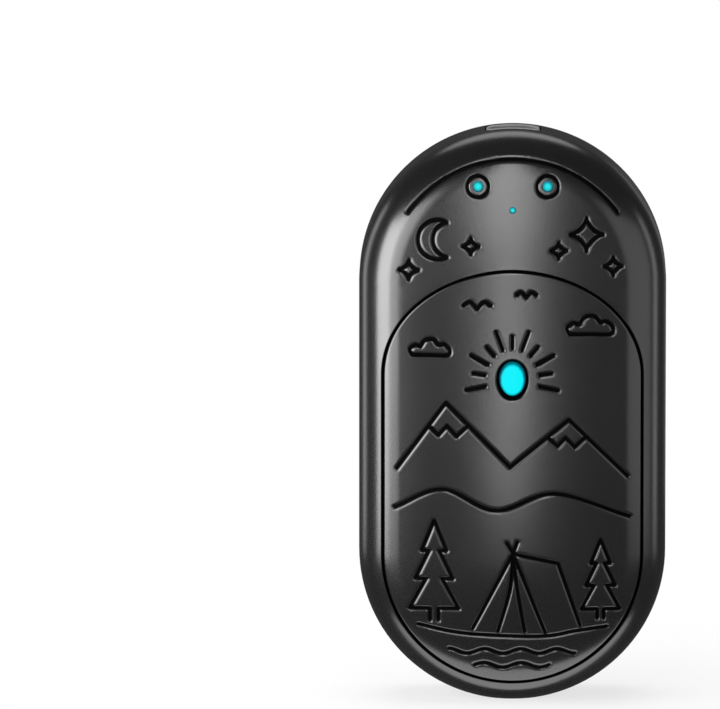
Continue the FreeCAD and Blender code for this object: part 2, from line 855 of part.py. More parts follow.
nodes = {
    "front_shell": make_front_shell(),
    "back_shell": make_back_shell(),
    "front_heat_panel": make_front_heat_panel(),
    "panel_adhesive": make_panel_adhesive(),
    "front_heater_film": make_front_heater_film(),
    "back_heater_film": make_back_heater_film(),
    "insulating_pad": make_insulating_pad(),
    "thermistor": make_thermistor(),
    "thermistor_leads": make_thermistor_leads(),
    "battery_cell": make_battery_cell(),
    "battery_protection_board": make_battery_protection_board(),
    "battery_tray": make_battery_tray(),
    "battery_socket": socket,
    "battery_plug": plug,
    "battery_lead_red": battery_lead(plug, -1),
    "battery_lead_black": battery_lead(plug, 1),
    "main_board": make_main_board(),
    "charge_controller": on_back_of_board(controller_size, controller_place_shares),
    "microcontroller": on_back_of_board(processor_size, processor_place_shares),
    "power_inductor": on_back_of_board(inductor_size, inductor_place_shares),
    "heater_transistors": Part.makeCompound(
        [on_back_of_board(transistor_size, place) for place in transistor_places_shares]
    ),
    "board_capacitors": Part.makeCompound(
        [on_back_of_board(capacitor_size, place) for place in capacitor_places_shares]
    ),
    "status_leds": make_status_leds(),
    "light_shroud": make_light_shroud(),
    "light_pipe_left": light_pipe(*left_window),
    "light_pipe_right": light_pipe(*right_window),
    "indicator_light_pipe": light_pipe(*indicator_dot),
    "usb_bezel": make_usb_bezel(),
    "usb_port_shell": make_usb_port_shell(),
    "usb_port_tongue": make_usb_port_tongue(),
    "usb_port_contacts": make_usb_port_contacts(),
    "power_button": make_power_button(),
    "tact_switch_plunger": make_tact_switch_plunger(),
    "tact_switch_body": make_tact_switch_body(),
    "button_board": make_button_board(),
    "board_ribbon": make_board_ribbon(),
    "front_heater_leads": make_front_heater_leads(),
    "back_heater_leads": make_back_heater_leads(),
    "main_board_screws": screws(board_posts, board_back_y, board_thickness + screw_shank_length),
    "tray_screws": screws(tray_posts, cell_front_y, tray_thickness + screw_shank_length),
    "button_board_screws": screws(button_board_posts, button_board_y, button_screw_reach, half_turn),
}

os.makedirs("parts", exist_ok=True)
for name, shape in nodes.items():
    shape.exportStep(f"parts/{name}.step")
    print(f"{name}: {len(shape.Solids)} solids, {shape.Volume:.2f} mm3, valid {shape.isValid()}")
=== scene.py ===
"""Looks of a pocket hand warmer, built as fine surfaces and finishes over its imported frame.

Lengths are in metres and places in the frame's own axes: +Z is up, the front faces -Y and +X is to its right.
"""
import json
import logging
import math
from collections.abc import Callable, Mapping, Sequence
from dataclasses import dataclass, field
from enum import Enum

import bpy
import numpy as np
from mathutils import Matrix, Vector


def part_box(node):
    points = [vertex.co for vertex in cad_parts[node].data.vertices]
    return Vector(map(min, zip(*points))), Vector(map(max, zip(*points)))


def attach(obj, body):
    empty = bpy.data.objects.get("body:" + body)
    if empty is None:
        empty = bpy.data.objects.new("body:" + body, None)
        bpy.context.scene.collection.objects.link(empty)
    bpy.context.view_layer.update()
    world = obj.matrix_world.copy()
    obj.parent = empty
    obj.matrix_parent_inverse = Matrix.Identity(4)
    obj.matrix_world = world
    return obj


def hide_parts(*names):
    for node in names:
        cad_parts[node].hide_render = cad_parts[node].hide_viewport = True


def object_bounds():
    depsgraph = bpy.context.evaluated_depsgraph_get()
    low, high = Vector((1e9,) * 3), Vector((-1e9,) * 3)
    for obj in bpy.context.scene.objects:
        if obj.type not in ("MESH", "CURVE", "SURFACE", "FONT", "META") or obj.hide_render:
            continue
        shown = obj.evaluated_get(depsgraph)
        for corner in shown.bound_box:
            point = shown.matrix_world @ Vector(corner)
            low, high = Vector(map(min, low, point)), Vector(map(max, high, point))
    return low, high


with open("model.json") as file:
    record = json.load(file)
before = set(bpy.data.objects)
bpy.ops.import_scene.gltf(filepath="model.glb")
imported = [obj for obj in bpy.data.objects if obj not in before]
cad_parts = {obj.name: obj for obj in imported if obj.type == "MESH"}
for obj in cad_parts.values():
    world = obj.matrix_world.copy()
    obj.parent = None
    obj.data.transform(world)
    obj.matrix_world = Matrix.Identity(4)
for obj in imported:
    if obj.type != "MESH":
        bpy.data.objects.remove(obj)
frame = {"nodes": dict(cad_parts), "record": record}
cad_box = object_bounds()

log = logging.getLogger("hand_warmer")

Array = np.ndarray
Object = bpy.types.Object
Material = bpy.types.Material
Colour = tuple[float, float, float]
Place = tuple[float, float]
Span = tuple[float, float]
TINY = 1e-9


class Body(Enum):
    """Bodies of the frame that pieces ride on."""

    CASE = "case"
    BUTTON = "button"


class LampShape(Enum):
    """Shapes of a lamp's face."""

    RECTANGLE = "RECTANGLE"
    OVAL = "ELLIPSE"


def shade(colour: Colour, share: float) -> Colour:
    """A colour with each of its channels times a share."""
    return tuple(share * value for value in colour)


def graded(start: float, end: float, spacing: Callable[[Array], Array], samples: int = 6000) -> Array:
    """Places from start to end whose steps follow a wanted spacing.

    The density, one over the spacing, is summed along the stretch, and even steps of that sum are read back.

    Args:
        start: First place.
        end: Last place.
        spacing: Wanted step at each place.
        samples: How many places the spacing is read at.

    Returns:
        The places, both ends among them.
    """
    fine = np.linspace(start, end, samples)
    density = 1 / spacing(fine)
    summed = np.concatenate([[0], np.cumsum((density[1:] + density[:-1]) / 2 * np.diff(fine))])
    count = max(int(math.ceil(summed[-1])), 1)
    return np.interp(np.linspace(0, summed[-1], count + 1), summed, fine)


def stepped(stretches: Sequence[tuple[float, float, int]]) -> Array:
    """Even steps in stretches, each given by its first place, its last place and its count."""
    return np.concatenate([np.linspace(*stretch) for stretch in stretches])


def lattice(index: Array, wrap_rows: bool = False, wrap_columns: bool = False) -> Array:
    """Quads between the neighbouring rows and columns of a grid of point numbers.

    Args:
        index: Point numbers in rows and columns.
        wrap_rows: Whether the last row joins the first.
        wrap_columns: Whether the last column joins the first.

    Returns:
        Point numbers of the quads, in rows and columns of their own.
    """
    if wrap_rows:
        index = np.concatenate([index, index[:1]], axis=0)
    if wrap_columns:
        index = np.concatenate([index, index[:, :1]], axis=1)
    return np.stack([index[:-1, :-1], index[1:, :-1], index[1:, 1:], index[:-1, 1:]], axis=-1)


@dataclass
class Surface:
    """Closed skin of one piece: its points, faces, and values that ride on the points."""

    points: Array
    quads: Array
    caps: list[Array] = field(default_factory=list)
    marks: dict[str, Array] = field(default_factory=dict)

    @classmethod
    def from_rows(cls, rows: Array, closed: bool, marks: Mapping[str, Array] | None = None) -> "Surface":
        """Skin of a profile carried round a loop.

        Args:
            rows: Points in rows along the profile and columns round the loop.
            closed: Whether the profile is a loop too. If not, its first and last rows are capped.
            marks: Values on the points, each in the same rows and columns.

        Returns:
            The closed skin.
        """
        index = np.arange(rows.shape[0] * rows.shape[1]).reshape(rows.shape[:2])
        quads = lattice(index, wrap_rows=closed, wrap_columns=True).reshape(-1, 4)
        caps = [] if closed else [index[0], index[-1][::-1]]
        flat = {name: values.reshape(-1) for name, values in (marks or {}).items()}
        return cls(rows.reshape(-1, 3), quads, caps, flat)

    def joined(self, other: "Surface") -> "Surface":
        """One surface that holds this skin and another as separate islands.

        Args:
            other: The other skin.

        Returns:
            Both, with a mark of 0 where one has none.
        """
        shift = len(self.points)
        pair = (self, other)
        marks = {
            name: np.concatenate([skin.marks.get(name, np.zeros(len(skin.points))) for skin in pair])
            for name in sorted({*self.marks, *other.marks})
        }
        return Surface(
            np.concatenate([self.points, other.points]),
            np.concatenate([self.quads, other.quads + shift]),
            self.caps + [cap + shift for cap in other.caps],
            marks,
        )

    def outward(self) -> "Surface":
        """The skin with its faces turned outward: its volume, a sum of tetrahedra, is then above 0.

        Returns:
            This skin, or one with every face reversed.
        """
        triangles = [self.quads[:, [0, 1, 2]], self.quads[:, [0, 2, 3]]]
        for cap in self.caps:
            triangles.append(np.stack([np.full(len(cap) - 2, cap[0]), cap[1:-1], cap[2:]], axis=1))
        corners = self.points[np.concatenate(triangles)]
        volume = np.einsum("ij,ij->i", corners[:, 0], np.cross(corners[:, 1], corners[:, 2])).sum()
        if volume >= 0:
            return self
        return Surface(self.points, self.quads[:, ::-1], [cap[::-1] for cap in self.caps], self.marks)

    def put(self, name: str, crease: float = 60.0) -> Object:
        """Puts the skin into a mesh object at the origin.

        Args:
            name: Name of the piece.
            crease: Angle in degrees past which an edge stays sharp.

        Returns:
            The new object.
        """
        loops = np.concatenate([self.quads.reshape(-1), *self.caps])
        used, index = np.unique(loops, return_inverse=True)
        sizes = np.array([4] * len(self.quads) + [len(cap) for cap in self.caps])
        starts = np.concatenate([[0], np.cumsum(sizes)[:-1]])
        mesh = bpy.data.meshes.new(name)
        mesh.vertices.add(len(used))
        mesh.vertices.foreach_set("co", self.points[used].astype(np.float32).reshape(-1))
        mesh.loops.add(len(index))
        mesh.loops.foreach_set("vertex_index", index.astype(np.int32).reshape(-1))
        mesh.polygons.add(len(sizes))
        mesh.polygons.foreach_set("loop_start", starts.astype(np.int32))
        mesh.update(calc_edges=True)
        mesh.validate()
        for mark, values in self.marks.items():
            layer = mesh.attributes.new(mark, "FLOAT", "POINT")
            layer.data.foreach_set("value", values[used].astype(np.float32))
        mesh.shade_smooth()
        mesh.set_sharp_from_angle(angle=math.radians(crease))
        piece = bpy.data.objects.new(name, mesh)
        bpy.context.scene.collection.objects.link(piece)
        return piece


def pierced(index: Array, outer: int, inner: int, gone: Array) -> Array:
    """Quads of a grid closed both ways, with a hole cut through two facing walls and lined.

    Args:
        index: The grid's point numbers.
        outer: First row of the outer wall.
        inner: Row of the inner wall that lies behind that first row; the rows before it lie behind the
            next ones.
        gone: Which cells of the walls the hole takes.

    Returns:
        Point numbers of the quads that are left and of the lining.
    """
    rows, columns = gone.shape
    quads = lattice(index, wrap_rows=True, wrap_columns=True)
    keep = np.ones(quads.shape[:2], bool)
    keep[outer : outer + rows, :columns] = ~gone
    keep[inner - rows : inner, :columns] = ~gone[::-1]
    front = index[outer : outer + rows + 1]
    behind = index[inner - rows : inner + 1][::-1]
    around = np.pad(gone, 1)
    lining = []
    for neighbour, start, end in (
        (around[1:-1, :-2], (0, 0), (1, 0)),
        (around[1:-1, 2:], (1, 1), (0, 1)),
        (around[:-2, 1:-1], (0, 1), (0, 0)),
        (around[2:, 1:-1], (1, 0), (1, 1)),
    ):
        row, column = np.nonzero(gone & ~neighbour)
        first = (row + start[0], column + start[1])
        second = (row + end[0], column + end[1])
        lining.append(np.stack([front[first], front[second], behind[second], behind[first]], axis=-1))
    return np.concatenate([quads[keep], *lining])


def rounding(inset: Array, radius: float) -> Array:
    """How far a rounded edge drops at a distance inside it: a quarter circle that starts at the edge."""
    left = radius - np.clip(inset, 0, radius)
    return radius - np.sqrt(radius**2 - left**2)


@dataclass(frozen=True)
class CaseForm:
    """Outer form of the case: a stadium from the front, with a domed face, round edges and a small flat foot.

    A place on the front lies at a distance u from the case's upright spine, and its depth depends on u alone.
    A form shrunk by a sink has every radius smaller by the sink.
    """

    half_width: float
    height: float
    front_y: float
    back_y: float
    foot_half: float = 0.0045
    dome_radius: float = 0.160
    front_edge_radius: float = 0.009
    back_edge_radius: float = 0.006
    wall: float = 0.0022

    @classmethod
    def from_frame(cls) -> "CaseForm":
        """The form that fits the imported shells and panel."""
        _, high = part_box("front_shell")
        return cls(high.x, high.z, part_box("front_heat_panel")[0].y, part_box("back_shell")[1].y)

    @property
    def low_z(self) -> float:
        """Height of the lower end's centre, which the flat foot brings down."""
        return math.sqrt(self.half_width**2 - self.foot_half**2)

    @property
    def high_z(self) -> float:
        """Height of the upper end's centre."""
        return self.height - self.half_width

    @property
    def dome_y(self) -> float:
        """Depth of the dome's centre."""
        return self.front_y + self.dome_radius

    @property
    def edge_u(self) -> float:
        """Distance from the spine of the front edge's centre."""
        return self.half_width - self.front_edge_radius

    @property
    def edge_y(self) -> float:
        """Depth of the front edge's centre, where the edge touches the dome."""
        return self.dome_y - math.sqrt((self.dome_radius - self.front_edge_radius) ** 2 - self.edge_u**2)

    @property
    def lean(self) -> float:
        """Angle from the front at which the dome passes into the edge."""
        return math.asin(self.edge_u / (self.dome_radius - self.front_edge_radius))

    @property
    def parting_y(self) -> float:
        """Depth of the joint between the shells."""
        return self.back_y - self.back_edge_radius

    def spread(self, x: Array, z: Array) -> Array:
        """Distance u of places on the front from the spine."""
        return np.hypot(x, z - np.clip(z, self.low_z, self.high_z))

    def front(self, u: Array, sink: float = 0.0) -> Array:
        """Depth of the front at distance u: the dome's arc, then the edge's arc.

        Args:
            u: Distances from the spine.
            sink: How much the form is shrunk.

        Returns:
            Depths, in y.
        """
        dome = self.dome_radius - sink
        edge = self.front_edge_radius - sink
        tangent = dome * math.sin(self.lean)
        on_dome = self.dome_y - np.sqrt(dome**2 - np.minimum(u, tangent) ** 2)
        on_edge = self.edge_y - np.sqrt(edge**2 - np.clip(u - self.edge_u, 0, edge) ** 2)
        return np.where(u < tangent, on_dome, on_edge)

    def run(self, u: Array, sink: float = 0.0) -> Array:
        """Length along the front's section from the spine to distance u, dome arc and edge arc added.

        Args:
            u: Distances from the spine.
            sink: How much the form is shrunk.

        Returns:
            Lengths.
        """
        dome = self.dome_radius - sink
        edge = self.front_edge_radius - sink
        tangent = dome * math.sin(self.lean)
        over = np.arcsin(np.clip((u - self.edge_u) / edge, 0, 1)) - self.lean
        return dome * np.arcsin(np.minimum(u, tangent) / dome) + np.where(u > tangent, edge * over, 0)

    def along(self, run: Array, sink: float = 0.0) -> tuple[Array, Array]:
        """Distance from the spine and depth at a length along the front's section, the reverse of run.

        Args:
            run: Lengths along the section.
            sink: How much the form is shrunk.

        Returns:
            Distances from the spine, and depths.
        """
        dome = self.dome_radius - sink
        edge = self.front_edge_radius - sink
        turn = dome * self.lean
        low = np.minimum(run, turn) / dome
        high = self.lean + np.maximum(run - turn, 0) / edge
        u = np.where(run < turn, dome * np.sin(low), self.edge_u + edge * np.sin(high))
        y = np.where(run < turn, self.dome_y - dome * np.cos(low), self.edge_y - edge * np.cos(high))
        return u, y

    def full_run(self, sink: float = 0.0) -> float:
        """Length along the front's section from the spine to the side wall."""
        edge = self.front_edge_radius - sink
        return (self.dome_radius - sink) * self.lean + edge * (math.pi / 2 - self.lean)


@dataclass(frozen=True)
class Rays:
    """Rays square to the case's spine, in order round the case: their roots' heights and their directions."""

    root_z: Array
    across: Array
    up: Array

    @classmethod
    def round_case(cls, form: CaseForm, low_turns: Array, sides: Array, high_turns: Array) -> "Rays":
        """Rays round the lower end, the right side, the upper end and the left side.

        Args:
            form: The case.
            low_turns: Angles round the lower end from its right to its left, from 0 to half a turn.
            sides: Heights of the rays of a side.
            high_turns: Angles round the upper end from its right to its left, from 0 to half a turn.

        Returns:
            The rays, each once.
        """
        inner = sides[(sides > form.low_z) & (sides < form.high_z)]
        low = -low_turns[::-1]
        root_z = [np.full(low.shape, form.low_z), inner, np.full(high_turns.shape, form.high_z), inner[::-1]]
        turn = np.concatenate([low, np.zeros(inner.shape), high_turns, np.full(inner.shape, math.pi)])
        return cls(np.concatenate(root_z), np.cos(turn), np.sin(turn))

    def points(self, u: Array, y: Array, floor: float = 0.0) -> Array:
        """Points on the rays at distances u and depths y, kept at or above the foot.

        Args:
            u: Distances from the spine, in rows along a profile and columns round the case.
            y: Depths, likewise.
            floor: Height of the foot.

        Returns:
            Points, in the same rows and columns.
        """
        x = self.across * u
        z = np.maximum(self.root_z + self.up * u, floor)
        return np.stack([x, y, z], axis=-1)


@dataclass(frozen=True)
class Oval:
    """Upright oval on the front, about a place on the middle line."""

    half: float
    rise: float
    middle_z: float

    def half_at(self, z: Array, grow: float) -> Array:
        """Half-width of the oval, grown evenly, at heights z."""
        share = (z - self.middle_z) / (self.rise + grow)
        return (self.half + grow) * np.sqrt(np.clip(1 - share**2, 0, 1))

    def outset(self, x: Array, z: Array, grow: float) -> Array:
        """Distance outside the grown oval: its radius ratio less 1, over that ratio's slope.

        Args:
            x: Places across.
            z: Heights.
            grow: How much the oval is grown.

        Returns:
            Distances, below 0 inside.
        """
        across = x / (self.half + grow)
        along = (z - self.middle_z) / (self.rise + grow)
        ratio = np.maximum(np.hypot(across, along), TINY)
        slope = np.hypot(across / (self.half + grow), along / (self.rise + grow)) / ratio
        return (ratio - 1) / np.maximum(slope, TINY)


@dataclass(frozen=True)
class PanelOutline:
    """Outline of the heating panel: half-round below, straight sides, half an oval above."""

    form: CaseForm
    half: float
    shoulder_z: float
    top_z: float

    @classmethod
    def from_frame(cls, form: CaseForm, shoulder_below_top: float = 0.0455) -> "PanelOutline":
        """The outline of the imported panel."""
        _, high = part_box("front_heat_panel")
        return cls(form, high.x, form.height - shoulder_below_top, high.z)

    @property
    def arch(self) -> Oval:
        """The oval whose upper half closes the panel."""
        return Oval(self.half, self.top_z - self.shoulder_z, self.shoulder_z)

    def half_at(self, z: Array, grow: float = 0.0) -> Array:
        """Half-width of the outline, grown evenly, at heights z.

        Args:
            z: Heights.
            grow: How much the outline is grown.

        Returns:
            Half-widths.
        """
        half = self.half + grow
        below = np.sqrt(np.clip(half**2 - (self.form.low_z - z) ** 2, 0, None))
        upper = np.where(z > self.shoulder_z, self.arch.half_at(z, grow), half)
        return np.where(z < self.form.low_z, below, upper)

    def inset(self, x: Array, z: Array, grow: float = 0.0) -> Array:
        """Distance of places inside the grown outline."""
        inside = self.half + grow - np.hypot(x, np.minimum(z - self.form.low_z, 0))
        return np.where(z > self.shoulder_z, -self.arch.outset(x, z, grow), inside)

    def reach(self, rays: Rays, grow: float) -> Array:
        """Distance along each ray from the spine to the grown outline, a quadratic for the upper oval.

        Args:
            rays: Rays round the case.
            grow: How much the outline is grown.

        Returns:
            One distance for each ray.
        """
        half = self.half + grow
        rise = self.top_z - self.shoulder_z + grow
        root = rays.root_z - self.shoulder_z
        square = (rays.across / half) ** 2 + (rays.up / rise) ** 2
        linear = 2 * root * rays.up / rise**2
        rest = (root / rise) ** 2 - 1
        hit = (-linear + np.sqrt(np.maximum(linear**2 - 4 * square * rest, 0))) / (2 * square)
        return np.where(rays.root_z > self.shoulder_z, hit, half)


@dataclass(frozen=True)
class Pen:
    """Draws strokes of a line drawing from places given in the drawing's unit."""

    unit: float = 0.001
    samples: int = 12

    def at(self, x: Array, z: Array) -> Array:
        """Points at places in the drawing's unit."""
        return np.stack([x, z], axis=1) * self.unit

    def run(self, *places: Place) -> Array:
        """Straight runs through the places."""
        return np.array(places, float) * self.unit

    def curve(self, *places: Place) -> Array:
        """Smooth curve through the places: a Catmull-Rom spline, whose tangents join each place's neighbours.

        Args:
            places: Places on the curve, in order.

        Returns:
            Points along the curve.
        """
        knots = np.array(places, float) * self.unit
        knots = np.concatenate([[2 * knots[0] - knots[1]], knots, [2 * knots[-1] - knots[-2]]])
        t = np.linspace(0, 1, self.samples)[:, None]
        weights = 0.5 * np.stack(
            [-t + 2 * t**2 - t**3, 2 - 5 * t**2 + 3 * t**3, t + 4 * t**2 - 3 * t**3, t**3 - t**2]
        )
        spans = np.stack([knots[:-3], knots[1:-2], knots[2:-1], knots[3:]])
        return np.einsum("ktc,knd->ntd", weights, spans).reshape(-1, 2)

    def arc(self, centre: Place, radius: float, start: float, end: float) -> Array:
        """Arc round a centre between two angles in degrees, measured from +X towards +Z."""
        turn = np.radians(np.linspace(start, end, 4 * self.samples))
        return self.at(centre[0] + radius * np.cos(turn), centre[1] + radius * np.sin(turn))

    def ripple(self, middle_z: float, half: float, height: float, waves: float) -> Array:
        """Level wavy line: a sine about a height, from -half to +half."""
        share = np.linspace(-1, 1, int(waves * 2 * self.samples))
        return self.at(half * share, middle_z + height * np.sin(math.pi * waves * share))

    def sparkle(self, centre: Place, size: float) -> Array:
        """Four-pointed star: an astroid, the cubes of a cosine and a sine."""
        turn = np.linspace(0, 2 * math.pi, 8 * self.samples)
        return self.at(centre[0] + size * np.cos(turn) ** 3, centre[1] + size * np.sin(turn) ** 3)


@dataclass(frozen=True)
class CampDrawing:
    """Generic camp scene for the front: a sun behind hills, pines, a tent and water, under a night sky."""

    pen: Pen = Pen()
    sun: Place = (0.0, 62.0)
    sun_clear: Place = (5.2, 6.0)
    long_ray: float = 3.6
    short_ray: float = 2.2
    wing: tuple[Place, ...] = ((1.0, 0.25), (0.5, 0.5), (0.0, 0.0))
    stars: tuple[tuple[Place, float], ...] = (
        ((13.8, 89.4), 3.1),
        ((18.8, 83.4), 1.7),
        ((8.6, 86.4), 1.5),
        ((-7.8, 87.2), 1.5),
        ((-19.4, 82.6), 1.8),
    )

    def rays(self, count: int = 11, start: float = -12.0, end: float = 192.0) -> list[Array]:
        """Sun rays over the hills, long and short in turn.

        Args:
            count: How many.
            start: Angle of the first, in degrees.
            end: Angle of the last.

        Returns:
            The strokes.
        """
        strokes = []
        for number, angle in enumerate(np.radians(np.linspace(start, end, count))):
            inner = np.array(self.sun_clear)
            outer = inner + (self.long_ray if number % 2 == 0 else self.short_ray)
            way = np.array([math.cos(angle), math.sin(angle)])
            strokes.append(self.pen.run(tuple(self.sun + inner * way), tuple(self.sun + outer * way)))
        return strokes

    def hills(self) -> list[Array]:
        """Two peaks with their snow lines, and the slope in front of them."""
        return [
            self.pen.run((-21.6, 45.0), (-12.4, 57.6), (-0.4, 45.4), (10.6, 54.4), (21.6, 43.6)),
            self.pen.run((-15.6, 53.2), (-13.8, 51.4), (-12.2, 53.2), (-10.4, 51.2), (-8.2, 53.3)),
            self.pen.run((6.6, 51.1), (8.5, 49.4), (10.0, 51.0), (11.7, 49.2), (13.8, 51.2)),
            self.pen.curve((-22.0, 37.6), (-13.0, 41.2), (-3.0, 37.2), (8.0, 40.4), (22.0, 36.0)),
        ]

    def pine(self, x: float, foot: float, height: float, half: float) -> list[Array]:
        """Outline of a pine: three tiers, each wider than the one above, and a trunk.

        Args:
            x: Middle of the trunk.
            foot: Height of its foot.
            height: From foot to tip.
            half: Half the width of the lowest tier.

        Returns:
            One stroke.
        """
        shares = np.array(
            [(0, 1), (0.5, 0.7), (0.2, 0.7), (0.76, 0.42), (0.32, 0.42), (1, 0.12), (0.17, 0.12), (0.17, 0)]
        )
        right = shares * (half, height) + (x, foot)
        left = shares[::-1] * (-half, height) + (x, foot)
        return [np.concatenate([left, right[1:]]) * self.pen.unit]

    def tent(self) -> list[Array]:
        """Ridge tent with its door folded back and a guy line."""
        return [
            self.pen.run((-7.4, 14.6), (0.2, 29.0), (6.2, 14.0)),
            self.pen.run((0.2, 29.0), (8.6, 27.2), (12.8, 15.2)),
            self.pen.curve((0.2, 29.0), (-0.4, 22.0), (-2.6, 14.2)),
            self.pen.curve((0.2, 29.0), (1.0, 22.0), (2.4, 14.1)),
            self.pen.run((-1.0, 31.0), (0.2, 29.0), (1.0, 31.2)),
        ]

    def cloud(self, x: float, z: float, size: float) -> list[Array]:
        """Cloud with a flat base.

        Args:
            x: Middle of the base.
            z: Height of the base.
            size: Scale of the cloud, 1 for one about 9 units wide.

        Returns:
            One stroke.
        """
        crest = [
            (-4.4, 0.0), (-4.9, 1.3), (-3.5, 2.4), (-2.3, 2.1), (-1.2, 3.6), (0.8, 3.8), (2.0, 2.5),
            (3.3, 2.7), (4.6, 1.4), (4.2, 0.0), (0.0, 0.0), (-4.4, 0.0),
        ]
        return [self.pen.curve(*((x + size * across, z + size * up) for across, up in crest))]

    def bird(self, x: float, z: float, size: float) -> list[Array]:
        """Bird far off: two wings that meet at a point."""
        wings = [[(side * size * across, size * up) for across, up in self.wing] for side in (-1, 1)]
        return [self.pen.curve(*((x + across, z + up) for across, up in wing)) for wing in wings]

    def water(self) -> list[Array]:
        """Shore and ripples at the foot."""
        return [
            self.pen.curve(
                (-17.6, 15.4), (-11.0, 14.0), (-4.0, 13.4), (6.0, 13.2), (12.0, 14.2), (17.8, 15.0)
            ),
            self.pen.ripple(10.3, 11.8, 0.45, 3.5),
            self.pen.ripple(7.6, 7.0, 0.45, 2.0),
        ]

    def moon(
        self,
        centre: Place = (-14.0, 88.4),
        radius: float = 3.7,
        open_half: float = 62.0,
        shift_share: float = 0.66,
    ) -> list[Array]:
        """Crescent: an arc round its centre, and a second arc between its tips from a centre to its right.

        Args:
            centre: Middle of the outer arc.
            radius: Radius of the outer arc.
            open_half: Half the angle that the outer arc leaves open, in degrees.
            shift_share: How far right the second centre lies, as a share of the radius.

        Returns:
            One stroke.
        """
        tip = np.array([math.cos(math.radians(open_half)), math.sin(math.radians(open_half))]) * radius
        shift = shift_share * radius
        inner = math.hypot(tip[0] - shift, tip[1])
        turn = math.degrees(math.atan2(tip[1], tip[0] - shift))
        outer_arc = self.pen.arc(centre, radius, open_half, 360 - open_half)
        inner_arc = self.pen.arc((centre[0] + shift, centre[1]), inner, 360 - turn, turn)
        return [np.concatenate([outer_arc, inner_arc])]

    def panel_strokes(self) -> list[Array]:
        """Everything that is cut into the heating panel.

        Returns:
            The strokes.
        """
        strokes = self.rays() + self.hills() + self.tent() + self.water()
        strokes += self.pine(-14.6, 16.2, 19.0, 4.6) + self.pine(16.6, 16.6, 15.0, 3.6)
        strokes += self.cloud(14.6, 70.6, 0.9) + self.cloud(-15.4, 66.6, 0.78)
        return strokes + self.bird(-6.6, 75.4, 2.6) + self.bird(2.6, 77.6, 1.9)

    def shell_strokes(self) -> list[Array]:
        """Everything that is cut into the front shell above the panel."""
        strokes = [self.pen.sparkle(centre, size) for centre, size in self.stars]
        return strokes + [self.pen.arc((0.0, 79.2), 24.2, 36.0, 144.0)] + self.moon()


def distance_to(stroke: Array, x: Array, z: Array) -> Array:
    """Distance of places from the nearest segment of a stroke.

    Args:
        stroke: Points of the stroke, in order.
        x: Places across.
        z: Heights.

    Returns:
        One distance for each place.
    """
    start = stroke[:-1]
    step = np.diff(stroke, axis=0)
    square = np.maximum((step**2).sum(axis=1), TINY**2)
    from_x = x[:, None] - start[:, 0]
    from_z = z[:, None] - start[:, 1]
    share = np.clip((from_x * step[:, 0] + from_z * step[:, 1]) / square, 0, 1)
    return np.hypot(from_x - share * step[:, 0], from_z - share * step[:, 1]).min(axis=1)


@dataclass(frozen=True)
class Engraving:
    """Soft-shouldered grooves along the strokes of a drawing."""

    strokes: Sequence[Array]
    half_width: float = 0.00058
    depth: float = 0.00042

    def share(self, x: Array, z: Array) -> Array:
        """Share of the groove's depth at each place: a raised cosine of the distance to the nearest stroke.

        Args:
            x: Places across, in any shape.
            z: Heights, in the same shape.

        Returns:
            Shares from 0 to 1, in that shape.
        """
        flat_x, flat_z = x.reshape(-1), z.reshape(-1)
        nearest = np.full(flat_x.shape, self.half_width)
        for stroke in self.strokes:
            low = stroke.min(axis=0) - self.half_width
            high = stroke.max(axis=0) + self.half_width
            inside = (flat_x > low[0]) & (flat_x < high[0]) & (flat_z > low[1]) & (flat_z < high[1])
            near = np.flatnonzero(inside)
            found = distance_to(stroke, flat_x[near], flat_z[near])
            nearest[near] = np.minimum(nearest[near], found)
        return (0.5 + 0.5 * np.cos(math.pi * nearest / self.half_width)).reshape(x.shape)


